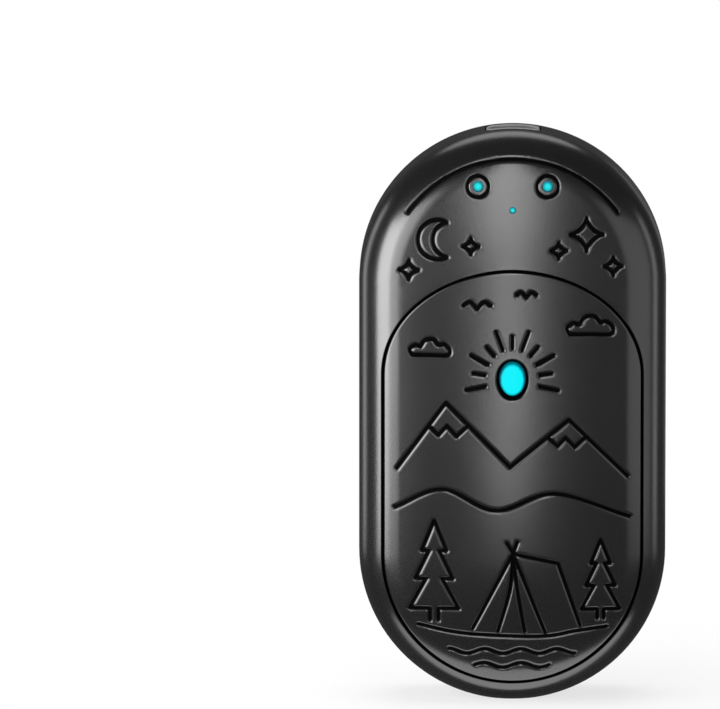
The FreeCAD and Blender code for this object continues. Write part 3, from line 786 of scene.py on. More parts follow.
@dataclass(frozen=True)
class Plate:
    """Sheet that follows the case's front inside the panel's outline, round the button's oval hole."""

    form: CaseForm
    outline: PanelOutline
    hole: Oval
    hole_grow: float
    thickness: float
    edge_radius: float
    step: float
    grow: float = 0.0
    sink: float = 0.0
    sliver: float = 0.000004
    end_rate: float = 0.0045
    fine_step: float = 0.00006
    row_fine_share: float = 0.25
    column_rate: float = 0.25
    back_columns: int = 9

    @property
    def ends(self) -> tuple[float, float, float, float]:
        """Heights of the foot, the hole's lower and upper end, and the top."""
        foot, rise = self.form.low_z - self.outline.half - self.grow, self.hole.rise + self.hole_grow
        return foot, self.hole.middle_z - rise, self.hole.middle_z + rise, self.outline.top_z + self.grow

    def row_step(self, z: Array) -> Array:
        """Row spacing: the base step, drawn in with the root of the distance to each round end.

        Args:
            z: Heights.

        Returns:
            Steps.
        """
        nearest = np.min([np.abs(z - end) for end in self.ends], axis=0)
        finest = self.fine_step * self.row_fine_share
        return np.minimum(self.step, finest + self.end_rate * np.sqrt(nearest))

    def rows(self) -> tuple[Array, Array]:
        """Heights of the rows, and whether each stretch to the next row passes the hole.

        Returns:
            The heights, and one truth for each stretch.
        """
        foot, low, high, top = self.ends
        below = graded(foot + self.sliver, low, self.row_step)
        beside = graded(low, high, self.row_step)
        above = graded(high, top - self.sliver, self.row_step)
        z = np.concatenate([below, beside[1:], above[1:]])
        number = np.arange(len(z) - 1)
        return z, (number >= len(below) - 1) & (number < len(below) + len(beside) - 2)

    def columns(self) -> Array:
        """Shares of the way from the middle or the hole to the outline, closer together at both ends."""
        rate, half = self.column_rate, self.outline.half + self.grow
        return graded(
            0, 1, lambda t: np.minimum(self.step, self.fine_step + rate * half * np.minimum(t, 1 - t)) / half
        )

    def surface(self, engraving: Engraving | None = None) -> Surface:
        """The sheet's skin: rows across, each a right and a left half with one outline round it.

        The front follows the case's form, less a quarter circle at the edges and the engraving. The back is
        the form shrunk by the thickness. Beside the hole the halves are apart, and elsewhere they share their
        middle.

        Args:
            engraving: Grooves to cut into the front.

        Returns:
            The closed skin, marked with the painted shade of its grooves and cut edges, and with its rubbed
            edges, also a painted highlight.
        """
        z, beside_hole = self.rows()
        inner = self.hole.half_at(z, self.hole_grow)[:, None]
        outer = self.outline.half_at(z, self.grow)[:, None]
        x = inner + (outer - inner) * self.columns()
        height = np.broadcast_to(z[:, None], x.shape)
        from_outline = self.outline.inset(x, height, self.grow)
        rim = np.minimum(from_outline, self.hole.outset(x, height, self.hole_grow))
        y = self.form.front(self.form.spread(x, height), self.sink) + rounding(rim, self.edge_radius)
        back_x = inner + (outer - inner) * np.linspace(1, 0, self.back_columns)
        back_z = np.broadcast_to(z[:, None], back_x.shape)
        back_y = self.form.front(self.form.spread(back_x, back_z), self.sink + self.thickness)
        middle_y = (y[:, -1:] + back_y[:, :1]) / 2
        halves = []
        for side in (1, -1):
            groove = np.zeros(x.shape) if engraving is None else engraving.share(side * x, height)
            depth = 0 if engraving is None else engraving.depth
            section_x = side * np.concatenate([x, outer, back_x], axis=1)
            section_y = np.concatenate([y + depth * groove, middle_y, back_y], axis=1)
            section_z = np.broadcast_to(z[:, None], section_x.shape)
            # Painted shade: the grooves and the half of each edge rounding nearest the cut get the dark
            # finish; the hidden back is marked dark too.
            painted_shade = np.maximum(groove, 1 - 2 * rim / self.edge_radius)
            hidden = np.zeros((len(z), 1 + self.back_columns))
            marks = {
                "groove": np.concatenate([painted_shade, hidden + 1], axis=1),
                # Rubbed edges, also a painted highlight.
                "wear": np.concatenate([np.exp(-rim / self.edge_radius), hidden], axis=1),
            }
            halves.append((np.stack([section_x, section_y, section_z], axis=-1), marks))
        return self.sewn(halves, beside_hole)

    def sewn(self, halves: Sequence[tuple[Array, dict[str, Array]]], beside_hole: Array) -> Surface:
        """Joins the right and left halves along the middle, and walls the hole.

        Args:
            halves: Points and marks of the right half and of the left half, in rows and columns.
            beside_hole: Whether each stretch between rows passes the hole.

        Returns:
            The closed skin.
        """
        shape = halves[0][0].shape[:2]
        right = np.arange(shape[0] * shape[1]).reshape(shape)
        left = right + right.size
        at_hole = np.zeros(shape[0], bool)
        at_hole[1:-1] = beside_hole[1:] & beside_hole[:-1]
        left[~at_hole, 0] = right[~at_hole, 0]
        left[~at_hole, -1] = right[~at_hole, -1]
        quads = []
        for index in (right, left[:, ::-1]):
            sheet = lattice(index, wrap_columns=True)
            quads += [sheet[:, :-1].reshape(-1, 4), sheet[beside_hole, -1]]
        caps = [right[0], right[-1][::-1], left[0][::-1], left[-1]]
        points = np.concatenate([half[0].reshape(-1, 3) for half in halves])
        marks = {
            name: np.concatenate([half[1][name].reshape(-1) for half in halves]) for name in halves[0][1]
        }
        return Surface(points, np.concatenate(quads), caps, marks)


def rounded_loop(
    half_x: float, half_y: float, corner: float, corner_points: int = 9, run_points: int = 13
) -> Array:
    """Loop of a rectangle with round corners: quarter circles joined by evenly divided runs.

    Loops made with the same counts have matching points, so one can pass into another.

    Args:
        half_x: Half the width.
        half_y: Half the depth.
        corner: Radius of the corners.
        corner_points: Points on each quarter circle.
        run_points: Points on each run, without its ends.

    Returns:
        Points of the loop, in x and y.
    """
    share = np.linspace(0, math.pi / 2, corner_points)
    signs = np.array([(1, 1), (-1, 1), (-1, -1), (1, -1)])
    turn = share + np.arange(4)[:, None] * math.pi / 2
    arcs = np.stack([np.cos(turn), np.sin(turn)], axis=-1) * corner
    arcs = arcs + (signs * (half_x - corner, half_y - corner))[:, None, :]
    part = np.linspace(0, 1, run_points + 2)[1:-1, None]
    runs = arcs[:, -1, None] + (np.roll(arcs, -1, axis=0)[:, 0, None] - arcs[:, -1, None]) * part
    return np.concatenate([arcs, runs], axis=1).reshape(-1, 2)


Term = "Field | float"


class Field:
    """A shader socket that takes part in Python arithmetic, each operation adding one Math node."""

    def __init__(self, graph: "Graph", socket: bpy.types.NodeSocket) -> None:
        """Wraps a socket of a graph."""
        self.graph = graph
        self.socket = socket

    def _math(self, operation: str, first: Term, second: Term) -> "Field":
        """One Math node on two terms."""
        return self.graph.node("ShaderNodeMath", {"operation": operation}, {0: first, 1: second})

    def __add__(self, other: Term) -> "Field":
        """Sum."""
        return self._math("ADD", self, other)

    def __radd__(self, other: Term) -> "Field":
        """Sum, with this field second."""
        return self._math("ADD", other, self)

    def __sub__(self, other: Term) -> "Field":
        """Difference."""
        return self._math("SUBTRACT", self, other)

    def __rsub__(self, other: Term) -> "Field":
        """Difference, with this field second."""
        return self._math("SUBTRACT", other, self)

    def __mul__(self, other: Term) -> "Field":
        """Product."""
        return self._math("MULTIPLY", self, other)

    def __rmul__(self, other: Term) -> "Field":
        """Product, with this field second."""
        return self._math("MULTIPLY", other, self)

    def __pow__(self, other: Term) -> "Field":
        """Power."""
        return self._math("POWER", self, other)

    def larger(self, other: Term) -> "Field":
        """The larger of two terms."""
        return self._math("MAXIMUM", self, other)


def opaque(value: "Colour | Field") -> "tuple[float, ...] | Field":
    """A colour with full alpha, or a field as it is."""
    return value if isinstance(value, Field) else (*value, 1.0)


class Graph:
    """Node tree of one material or of the world."""

    def __init__(self, owner: Material | bpy.types.World, output: str) -> None:
        """Empties the owner's node tree and gives it its output node.

        Args:
            owner: Material or world.
            output: Blender's name of its output node.
        """
        self.owner = owner
        owner.use_nodes = True
        self.tree = owner.node_tree
        self.tree.nodes.clear()
        self.output = self.tree.nodes.new(output)

    @classmethod
    def material(cls, name: str) -> "Graph":
        """Starts a new material."""
        return cls(bpy.data.materials.new(name), "ShaderNodeOutputMaterial")

    @classmethod
    def world(cls, name: str) -> "Graph":
        """Starts a new world."""
        return cls(bpy.data.worlds.new(name), "ShaderNodeOutputWorld")

    def node(
        self,
        kind: str,
        settings: Mapping[str, object] | None = None,
        inputs: Mapping[str | int, object] | None = None,
        output: str | int = 0,
    ) -> Field:
        """Adds any node, with its settings first and then the values or links of its sockets.

        Args:
            kind: Blender's name of the node type.
            settings: The node's own settings.
            inputs: Sockets by name or number, each with a value or a field to link.
            output: The output socket to return.

        Returns:
            The chosen output as a field.
        """
        made = self.tree.nodes.new(kind)
        for name, value in (settings or {}).items():
            setattr(made, name, value)
        for key, value in (inputs or {}).items():
            if isinstance(value, Field):
                self.tree.links.new(value.socket, made.inputs[key])
            else:
                made.inputs[key].default_value = value
        return Field(self, made.outputs[output])

    def place(self) -> Field:
        """Object coordinates, which are the frame's own."""
        return self.node("ShaderNodeTexCoord", output="Object")

    def axis(self, name: str) -> Field:
        """One axis of the object coordinates."""
        return self.node("ShaderNodeSeparateXYZ", inputs={0: self.place()}, output=name)

    def mark(self, name: str) -> Field:
        """A value that rides on the mesh's points, 0 where the mesh has none."""
        return self.node("ShaderNodeAttribute", {"attribute_name": name}, output="Fac")

    def noise(self, scale: float, detail: float = 2.0, stretch: Sequence[float] = (1, 1, 1)) -> Field:
        """Noise about 0.5 with features of one over the scale, in metres, drawn out by a stretch."""
        mapped = self.node("ShaderNodeMapping", inputs={"Vector": self.place(), "Scale": tuple(stretch)})
        return self.node("ShaderNodeTexNoise", inputs={"Vector": mapped, "Scale": scale, "Detail": detail})

    def cells(self, scale: float) -> Field:
        """Distance to the nearest of scattered points, in cells of one over the scale, in metres."""
        return self.node("ShaderNodeTexVoronoi", inputs={"Vector": self.place(), "Scale": scale})

    def ramp(self, value: Field, low: float, high: float) -> Field:
        """Smooth step of a value from 0 at low to 1 at high."""
        inputs = {"Value": value, "From Min": low, "From Max": high}
        return self.node("ShaderNodeMapRange", {"interpolation_type": "SMOOTHSTEP"}, inputs)

    def mix(self, share: Term, first: "Colour | Field", second: "Colour | Field") -> Field:
        """Colour between two colours."""
        sockets = {0: share, 6: opaque(first), 7: opaque(second)}
        return self.node("ShaderNodeMix", {"data_type": "RGBA"}, sockets, output=2)

    def bump(self, height: Field, distance: float) -> Field:
        """Normal of a surface raised by a height from 0 to 1 times a distance, at full strength."""
        return self.node("ShaderNodeBump", inputs={"Height": height, "Distance": distance, "Strength": 1.0})

    def principled(self, inputs: Mapping[str, object]) -> Field:
        """A Principled shader with these sockets set or linked."""
        full = {name: opaque(value) if "Color" in name else value for name, value in inputs.items()}
        return self.node("ShaderNodeBsdfPrincipled", inputs=full)

    def finish(self, shader: Field) -> Material | bpy.types.World:
        """Sends a shader to the output and gives the material or world."""
        self.tree.links.new(shader.socket, self.output.inputs["Surface"])
        return self.owner

    def skin(self, inputs: Mapping[str, object]) -> Material:
        """Ends the material with one Principled shader."""
        return self.finish(self.principled(inputs))


@dataclass(frozen=True)
class SatinCase:
    """Fine-grained satin black: painted shade in grooves; rubbed edges polished, lighter from rubbing and
    painted highlight.
    """

    name: str
    colour: Colour
    wear_and_sheen_colour: Colour
    roughness: float
    grain: float = 3200.0
    grain_height: float = 0.00001
    specular: float = 0.9
    index: float = 1.72
    groove_and_shade_range: Span = (0.06, 0.56)
    handling_scale: float = 70.0
    handling_tint: float = 0.25
    handling_gain: float = 1.5
    handling_rough: float = 0.04
    patch_scale: float = 420.0
    patch_range: Span = (0.35, 0.75)
    wear_tint: float = 0.7
    wear_polish: float = 0.06
    pit_shade: float = 0.1
    pit_rough: float = 0.55
    pit_rough_spread: float = 0.1
    pit_specular: float = 0.02

    def material(self) -> Material:
        """Builds the finish.

        Returns:
            The material.
        """
        graph = Graph.material(self.name)
        groove = graph.ramp(graph.mark("groove"), *self.groove_and_shade_range)
        wear = graph.mark("wear")
        handling = graph.noise(self.handling_scale, detail=3.0)
        patchy = graph.ramp(graph.noise(self.patch_scale), *self.patch_range)
        # Painted highlight as well as rubbing: rubbed edges turn lighter and smoother.
        worn_and_sheen = graph.mix(wear * patchy * self.wear_tint, self.colour, self.wear_and_sheen_colour)
        tinted = graph.mix(handling * self.handling_tint, worn_and_sheen, shade(self.colour, self.handling_gain))
        smoothest = self.roughness - self.handling_rough / 2
        rough = smoothest + handling * self.handling_rough - wear * self.wear_polish
        grain = graph.bump(graph.noise(self.grain, detail=1.5), self.grain_height)
        skin = graph.principled(
            {
                "Base Color": tinted,
                "Roughness": rough,
                "Specular IOR Level": self.specular,
                "IOR": self.index,
                "Normal": grain,
            }
        )
        # Painted shade: where the groove mark is set, a dark, barely reflecting finish stands in for shade in
        # grooves and recesses.
        pit = graph.principled(
            {
                "Base Color": graph.mix(handling, shade(self.colour, self.pit_shade), self.colour),
                "Roughness": self.pit_rough + handling * self.pit_rough_spread,
                "Specular IOR Level": self.pit_specular,
                "Normal": grain,
            }
        )
        return graph.finish(graph.node("ShaderNodeMixShader", inputs={0: groove, 1: skin, 2: pit}))


@dataclass(frozen=True)
class LitPlastic:
    """Clear tinted plastic lit from behind, brightest in its middle and deeper towards its rim."""

    name: str
    middle: tuple[float, float]
    half: tuple[float, float]
    core_colour: Colour = (0.002, 0.90, 0.98)
    rim_colour: Colour = (0.0, 0.05, 0.09)
    body_colour: Colour = (0.0, 0.06, 0.08)
    glow: float = 0.9
    core_reach: float = 0.78
    rim_reach: float = 1.05
    cloud_scale: float = 900.0
    cloud_reach: float = 0.08
    roughness: float = 0.26
    cloud_rough: float = 0.14
    specular: float = 0.12
    grain: float = 2600.0
    grain_height: float = 0.000006

    def material(self) -> Material:
        """Builds the finish, its colour a ramp of the oval distance from the middle.

        Returns:
            The material.
        """
        graph = Graph.material(self.name)
        across = (graph.axis("X") - self.middle[0]) * (1 / self.half[0])
        along = (graph.axis("Z") - self.middle[1]) * (1 / self.half[1])
        reach = (across * across + along * along) ** 0.5
        cloud = graph.noise(self.cloud_scale)
        clouded = reach + cloud * self.cloud_reach - self.cloud_reach / 2
        rim = graph.ramp(clouded, self.core_reach, self.rim_reach)
        light = graph.mix(rim, self.core_colour, self.rim_colour)
        return graph.skin(
            {
                "Base Color": self.body_colour,
                "Roughness": self.roughness + cloud * self.cloud_rough,
                "Specular IOR Level": self.specular,
                "Emission Color": light,
                "Emission Strength": self.glow,
                "Normal": graph.bump(graph.noise(self.grain, detail=1.0), self.grain_height),
            }
        )


@dataclass(frozen=True)
class MouldedPlastic:
    """Moulded plastic or rubber with a fine grain and slight mottling."""

    name: str
    colour: Colour
    roughness: float = 0.5
    grain: float = 3200.0
    grain_height: float = 0.00001
    mottle: float = 0.35
    mottle_scale: float = 260.0
    mottle_shade: float = 0.55
    mottle_rough: float = 0.12

    def material(self) -> Material:
        """Builds the finish.

        Returns:
            The material.
        """
        graph = Graph.material(self.name)
        cloud = graph.noise(self.mottle_scale, detail=3.0)
        base = graph.mix(cloud * self.mottle, self.colour, shade(self.colour, self.mottle_shade))
        return graph.skin(
            {
                "Base Color": base,
                "Roughness": self.roughness - self.mottle_rough / 2 + cloud * self.mottle_rough,
                "Normal": graph.bump(graph.noise(self.grain, detail=1.5), self.grain_height),
            }
        )


@dataclass(frozen=True)
class DrawnMetal:
    """Metal drawn or brushed along one axis, with streaks in its polish and a little tarnish."""

    name: str
    colour: Colour
    roughness: float = 0.28
    stretch: tuple[float, float, float] = (1.0, 1.0, 0.06)
    streak: float = 5200.0
    streak_height: float = 0.000004
    streak_rough: float = 0.16
    tarnish_scale: float = 380.0
    tarnish_range: Span = (0.45, 0.8)
    tarnish_tint: float = 0.45
    tarnish_shade: float = 0.6
    tarnish_rough: float = 0.08

    def material(self) -> Material:
        """Builds the finish.

        Returns:
            The material.
        """
        graph = Graph.material(self.name)
        streaks = graph.noise(self.streak, stretch=self.stretch)
        tarnish = graph.ramp(graph.noise(self.tarnish_scale, detail=3.0), *self.tarnish_range)
        base = graph.mix(tarnish * self.tarnish_tint, self.colour, shade(self.colour, self.tarnish_shade))
        polish = self.roughness - self.streak_rough / 2 + streaks * self.streak_rough
        return graph.skin(
            {
                "Base Color": base,
                "Metallic": 1.0,
                "Roughness": polish + tarnish * self.tarnish_rough,
                "Normal": graph.bump(streaks, self.streak_height),
            }
        )


@dataclass(frozen=True)
class TrackedSheet:
    """Sheet with conductors under a clear skin: bands of track that show lighter and stand up a little."""

    name: str
    colour: Colour
    track_colour: Colour
    roughness: float
    pitch: float
    bend: float = 6.0
    track_height: float = 0.00002
    band_scale: float = 0.157
    track_range: Span = (0.45, 0.6)
    track_tint: float = 0.7
    cloud_scale: float = 300.0
    cloud_tint: float = 0.4
    cloud_rough: float = 0.1
    coat: float = 0.3
    coat_roughness: float = 0.2

    def material(self) -> Material:
        """Builds the finish, its tracks the bands of a bent wave.

        Returns:
            The material.
        """
        graph = Graph.material(self.name)
        bands = graph.node(
            "ShaderNodeTexWave",
            {"wave_type": "BANDS", "bands_direction": "DIAGONAL", "wave_profile": "TRI"},
            {
                "Vector": graph.place(),
                "Scale": self.band_scale / self.pitch,
                "Distortion": self.bend,
                "Detail": 1.0,
                "Detail Scale": 1.0,
            },
            output="Fac",
        )
        track = graph.ramp(bands, *self.track_range)
        cloud = graph.noise(self.cloud_scale)
        sheet = graph.mix(cloud * self.cloud_tint, self.colour, self.track_colour)
        return graph.skin(
            {
                "Base Color": graph.mix(track * self.track_tint, sheet, self.track_colour),
                "Roughness": self.roughness - self.cloud_rough / 2 + cloud * self.cloud_rough,
                "Coat Weight": self.coat,
                "Coat Roughness": self.coat_roughness,
                "Normal": graph.bump(track, self.track_height),
            }
        )


@dataclass(frozen=True)
class CellFoam:
    """Closed-cell foam: small round cells with darker pits."""

    name: str
    colour: Colour
    cell: float = 0.0006
    cell_height: float = 0.00012
    pit_range: Span = (0.1, 0.7)
    pit_shade: float = 0.5
    roughness: float = 0.75
    pit_rough: float = 0.2

    def material(self) -> Material:
        """Builds the finish, its cells those of scattered points.

        Returns:
            The material.
        """
        graph = Graph.material(self.name)
        pit = graph.ramp(graph.cells(1 / self.cell), *self.pit_range)
        return graph.skin(
            {
                "Base Color": graph.mix(pit, shade(self.colour, self.pit_shade), self.colour),
                "Roughness": self.roughness + pit * self.pit_rough,
                "Normal": graph.bump(pit, self.cell_height),
            }
        )


@dataclass(frozen=True)
class CrinkledFoil:
    """Laminated foil of a pouch: pale metal with soft crinkles."""

    name: str
    colour: Colour
    crinkle: float = 240.0
    crinkle_height: float = 0.00025
    cell_share: float = 0.6
    noise_share: float = 0.5
    fold_range: Span = (0.3, 0.9)
    fold_shade: float = 0.75
    metallic: float = 0.9
    roughness: float = 0.3
    fold_rough: float = 0.15

    def material(self) -> Material:
        """Builds the finish, its crinkles a mix of cells and noise.

        Returns:
            The material.
        """
        graph = Graph.material(self.name)
        fine = graph.noise(self.crinkle * 2, detail=3.0)
        fold = graph.cells(self.crinkle) * self.cell_share + fine * self.noise_share
        lit = graph.ramp(fold, *self.fold_range)
        return graph.skin(
            {
                "Base Color": graph.mix(lit, shade(self.colour, self.fold_shade), self.colour),
                "Metallic": self.metallic,
                "Roughness": self.roughness + fold * self.fold_rough,
                "Normal": graph.bump(fold, self.crinkle_height),
            }
        )


Finish = SatinCase | LitPlastic | MouldedPlastic | DrawnMetal | TrackedSheet | CellFoam | CrinkledFoil


def dress(surface: Surface, name: str, body: Body, slot: str, finish: Finish, *stands_for: str) -> Object:
    """Puts a skin into the scene, dressed, riding on its body and standing for its nodes.

    Args:
        surface: The closed skin.
        name: Name of the piece.
        body: Body that it rides on.
        slot: The record's material slot; not used.
        finish: Its finish.
        stands_for: CAD nodes that it replaces.

    Returns:
        The piece.
    """
    made = surface.outward().put(name)
    made.data.materials.append(finish.material())
    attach(made, body.value)
    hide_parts(*stands_for)
    return made


@dataclass(frozen=True)
class Window:
    """Lit window in the front shell: its place, its radius, and the ring round its seat, if it has one."""

    node: str
    piece: str
    ring_radius: float = 0.0
    clearance: float = 0.0001
    flange_rim: float = 0.00065

    @property
    def middle(self) -> Place:
        """Place of the window's middle on the front."""
        low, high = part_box(self.node)
        return (low.x + high.x) / 2, (low.z + high.z) / 2

    @property
    def radius(self) -> float:
        """Radius of the window's face, the flange's rim taken off the node's width."""
        low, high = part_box(self.node)
        return (high.x - low.x) / 2 - self.flange_rim

    @property
    def seat(self) -> float:
        """Radius of the hole that the window sits in."""
        return self.radius + self.clearance

    def away(self, x: Array, z: Array) -> Array:
        """Distance of places from the window's middle."""
        return np.hypot(x - self.middle[0], z - self.middle[1])


@dataclass(frozen=True)
class PortHole:
    """Hole in the top wall for the port's insert: a rectangle with round corners, seen from above."""

    gap: float = 0.0003
    corner: float = 0.0017

    @property
    def half_x(self) -> float:
        """Half the hole's width."""
        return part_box("usb_bezel")[1].x + self.gap

    @property
    def depths(self) -> tuple[float, float]:
        """Depths of the hole's front and back edges."""
        low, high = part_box("usb_bezel")
        return low.y - self.gap, high.y + self.gap

    def outset(self, x: Array, y: Array) -> tuple[Array, Array]:
        """Distance of places outside the hole, and the way straight out of it.

        Args:
            x: Places across.
            y: Depths, in the same shape.

        Returns:
            Distances, below 0 inside the hole, and unit directions.
        """
        low, high = self.depths
        off = np.stack([x, y - (low + high) / 2], axis=-1)
        past = np.abs(off) - np.array([self.half_x - self.corner, (high - low) / 2 - self.corner])
        round_part = np.maximum(past, 0)
        length = np.linalg.norm(round_part, axis=-1)
        flat = np.minimum(past.max(axis=-1), 0)
        axis = np.eye(2)[past.argmax(axis=-1)]
        way = np.where(length[..., None] > 0, round_part / np.maximum(length, TINY)[..., None], axis)
        return length + flat - self.corner, way * np.where(off < 0, -1, 1)


@dataclass(frozen=True)
class FrontShell:
    """Front half of the case: the rim and face round the panel's recess, and the recess floor."""

    form: CaseForm
    outline: PanelOutline
    button: Oval
    windows: tuple[Window, ...]
    port: PortHole
    engraving: Engraving
    finish: SatinCase
    panel_gap: float = 0.0004
    recess: float = 0.00125
    ledge: float = 0.0018
    lip_radius: float = 0.00025
    parting_radius: float = 0.0003
    rim_wall: float = 0.0011
    rebate: float = 0.0017
    ring_width: float = 0.0007
    ring_depth: float = 0.00035
    button_clearance: float = 0.0002
    step: float = 0.0003
    fine_step: float = 0.00014
    fine_half: float = 0.0024
    drawn_reach: float = 0.0256
    corner_step: float = 0.00019
    seam: float = 0.00002
    seat_fade: int = 9
    seat_depth: float = 0.9
    ring_spread: float = 0.7
    fine_rate: float = 0.2
    plain_rate: float = 0.1
    corner_rate: float = 0.45
    arch_stretch: float = 2.6
    side_stretch: float = 6.0
    end_stretch: float = 1.15
    floor_stretch: float = 8.0
    floor_rate: float = 0.012
    floor_fine_step: float = 0.0002
    floor_shares: tuple[float, ...] = (0.0, 0.5, 0.9, 1.0)
    wall_shares: tuple[float, ...] = (0.33, 0.67)
    low_rays: int = 63
    lip_rows: int = 7
    parting_rows: int = 6
    inner_rows: int = 12
    top_rise: float = 0.5

    def rays(self) -> Rays:
        """Rays round the case, closest together over the lit windows and sparse where the shell is plain.

        Returns:
            The rays.
        """
        middle = self.form.high_z

        def side_step(z: Array) -> Array:
            """Step up a side, finer beside the panel's arch."""
            stretch = np.where(z > self.outline.shoulder_z, self.arch_stretch, self.side_stretch)
            return stretch * self.step

        def top_step(turn: Array) -> Array:
            """Step round the upper end, finer over the windows.

            Args:
                turn: Angles from its right.

            Returns:
                Steps, as angles.
            """
            step = np.full(turn.shape, self.step / self.form.half_width * self.end_stretch)
            for window in self.windows:
                if window.ring_radius > 0:
                    x, z = window.middle
                    reach = math.hypot(x, z - middle)
                    off = np.abs(turn - math.atan2(z - middle, x)) * reach
                    past = np.maximum(off - self.fine_half, 0)
                    step = np.minimum(step, (self.fine_step + self.fine_rate * past) / reach)
            return step

        low_turns = np.linspace(0, math.pi, self.low_rays)
        sides = graded(self.form.low_z, middle, side_step)
        port_edge = math.acos(self.port.half_x / self.form.half_width)
        ends = (0, port_edge, math.pi - port_edge, math.pi)
        stretches = [graded(start, end, top_step)[1:] for start, end in zip(ends, ends[1:])]
        return Rays.round_case(self.form, low_turns, sides, np.concatenate([[0], *stretches]))

    def face_runs(self, start: Array) -> Array:
        """Lengths along the section of the face's rows, from the lip to the side, finer at the windows.

        Args:
            start: Length at the lip, for each ray.

        Returns:
            Lengths in rows along the section and columns round the case.
        """
        full = self.form.full_run()
        shortest = start.min()
        ringed = np.array([window.middle for window in self.windows if window.ring_radius > 0])
        reach = self.form.run(self.form.spread(ringed[:, 0], ringed[:, 1])).mean()

        def spacing(run: Array) -> Array:
            """Step along the longest section, wider past the drawing.

            Args:
                run: Lengths.

            Returns:
                Steps.
            """
            off = np.maximum(np.abs(run - reach) - self.fine_half, 0)
            past = np.maximum(run - self.drawn_reach, 0)
            return np.minimum(self.step + self.plain_rate * past, self.fine_step + self.fine_rate * off)

        share = (graded(shortest, full, spacing) - shortest) / (full - shortest)
        return start + (full - start) * share[:, None]

    def rim(self) -> Surface:
        """Skin of the rim and face: one closed profile carried round the case.

        The profile runs over the recess floor, up its wall, round the lip, along the domed face and the edge
        arc, down the side, round the parting edge, over the rebate and back along the inside.

        Returns:
            The skin, marked with the painted shade of its grooves, recess and lip, and with its rubbed edges,
            also a painted highlight.
        """
        form = self.form
        rays = self.rays()
        lip = self.outline.reach(rays, self.panel_gap)
        ledge = self.outline.reach(rays, -self.ledge)
        floor_u = ledge + (lip - ledge) * np.array(self.floor_shares)[:, None]
        floor_y = form.front(floor_u, self.recess)
        wall_share = np.array(self.wall_shares)[:, None]
        wall_u = np.broadcast_to(lip, (len(wall_share), len(lip)))
        wall_y = floor_y[-1] + (form.front(lip) + self.lip_radius - floor_y[-1]) * wall_share
        turn = np.linspace(0, math.pi / 2, self.lip_rows)[:, None]
        lip_u = lip + self.lip_radius * (1 - np.cos(turn))
        lip_y = form.front(lip_u) + self.lip_radius * (1 - np.sin(turn))
        lip_shade = np.cos(turn) ** 2
        face_u, face_y = form.along(self.face_runs(form.run(lip_u[-1]))[1:])
        side_y = self.side_depths()[:, None]
        rim_u = form.half_width - self.rim_wall
        cavity = form.half_width - form.wall
        behind_u = np.where(side_y > form.parting_y - self.rebate + self.seam / 2, rim_u, cavity)
        turn = np.linspace(0, math.pi / 2, self.parting_rows)[1:, None]
        parting_u = form.half_width - self.parting_radius * (1 - np.cos(turn))
        parting_y = form.parting_y - self.parting_radius * (1 - np.sin(turn))
        inner_start = form.full_run(form.wall)
        inner_share = np.linspace(0, 1, self.inner_rows)[:, None]
        inner_run = inner_start + (form.run(ledge, form.wall) - inner_start) * inner_share
        inner_u, inner_y = form.along(inner_run, form.wall)
        side_u = np.full(side_y.shape, form.half_width)
        edge_u = np.concatenate([side_u, parting_u, [[rim_u]], behind_u[::-1]])
        edge_y = np.concatenate([side_y, parting_y, [[form.parting_y]], side_y[::-1]])
        u = np.concatenate([floor_u, wall_u, lip_u, face_u, edge_u + 0 * lip, inner_u])
        y = np.concatenate([floor_y, wall_y, lip_y, face_y, edge_y + 0 * lip, inner_y])
        start = len(floor_u) + len(wall_u)
        outer = start + len(lip_u) + len(face_u)
        inner = outer + len(edge_u) - 1
        faced = np.zeros(u.shape, bool)
        faced[start:outer] = True
        # Rubbed edges at the lip and the parting line, also a painted highlight.
        wear = np.exp(-np.abs(u - lip) / (2 * self.lip_radius)) * faced
        wear += np.exp(-np.abs(y - form.parting_y) / (2 * self.parting_radius)) * (u > cavity)
        points, groove = self.cut(rays.points(u, y), faced)
        # Painted shade: the recess floor and its wall are fully dark, and the lip fades into the dark.
        groove[:start] = 1
        groove[start : start + len(lip_u)] = np.maximum(groove[start : start + len(lip_u)], lip_shade)
        gone, across = self.port_cells(rays, side_y)
        topmost = rays.up > self.top_rise
        for first, step in ((outer, 1), (inner, -1)):
            rows = first + step * np.arange(len(side_y))
            up = np.sqrt(1 - np.where(topmost, across, 0) ** 2)
            moved = np.stack([across * u[rows], y[rows], form.high_z + up * u[rows]], axis=-1)
            points[rows] = np.where(topmost[None, :, None], moved, points[rows])
        index = np.arange(u.size).reshape(u.shape)
        marks = {"groove": groove.reshape(-1), "wear": np.clip(wear, 0, 1).reshape(-1)}
        return Surface(points.reshape(-1, 3), pierced(index, outer, inner, gone), [], marks)

    def side_depths(self) -> Array:
        """Depths of the side wall's rows, closer at the port's corners, with a pair at the rebate's step.

        Returns:
            Depths, from the front.
        """
        form = self.form
        low, high = self.port.depths

        def spacing(y: Array) -> Array:
            """Step through the wall."""
            off = np.minimum(np.abs(y - low), np.abs(y - high))
            return self.corner_step + self.corner_rate * np.maximum(off - self.port.corner, 0)

        step_y = form.parting_y - self.rebate
        ends = (form.edge_y, low, step_y, high, form.parting_y - self.parting_radius)
        stretches = [graded(start, end, spacing)[1:] for start, end in zip(ends, ends[1:])]
        return np.sort(np.append(np.concatenate(stretches), step_y + self.seam))

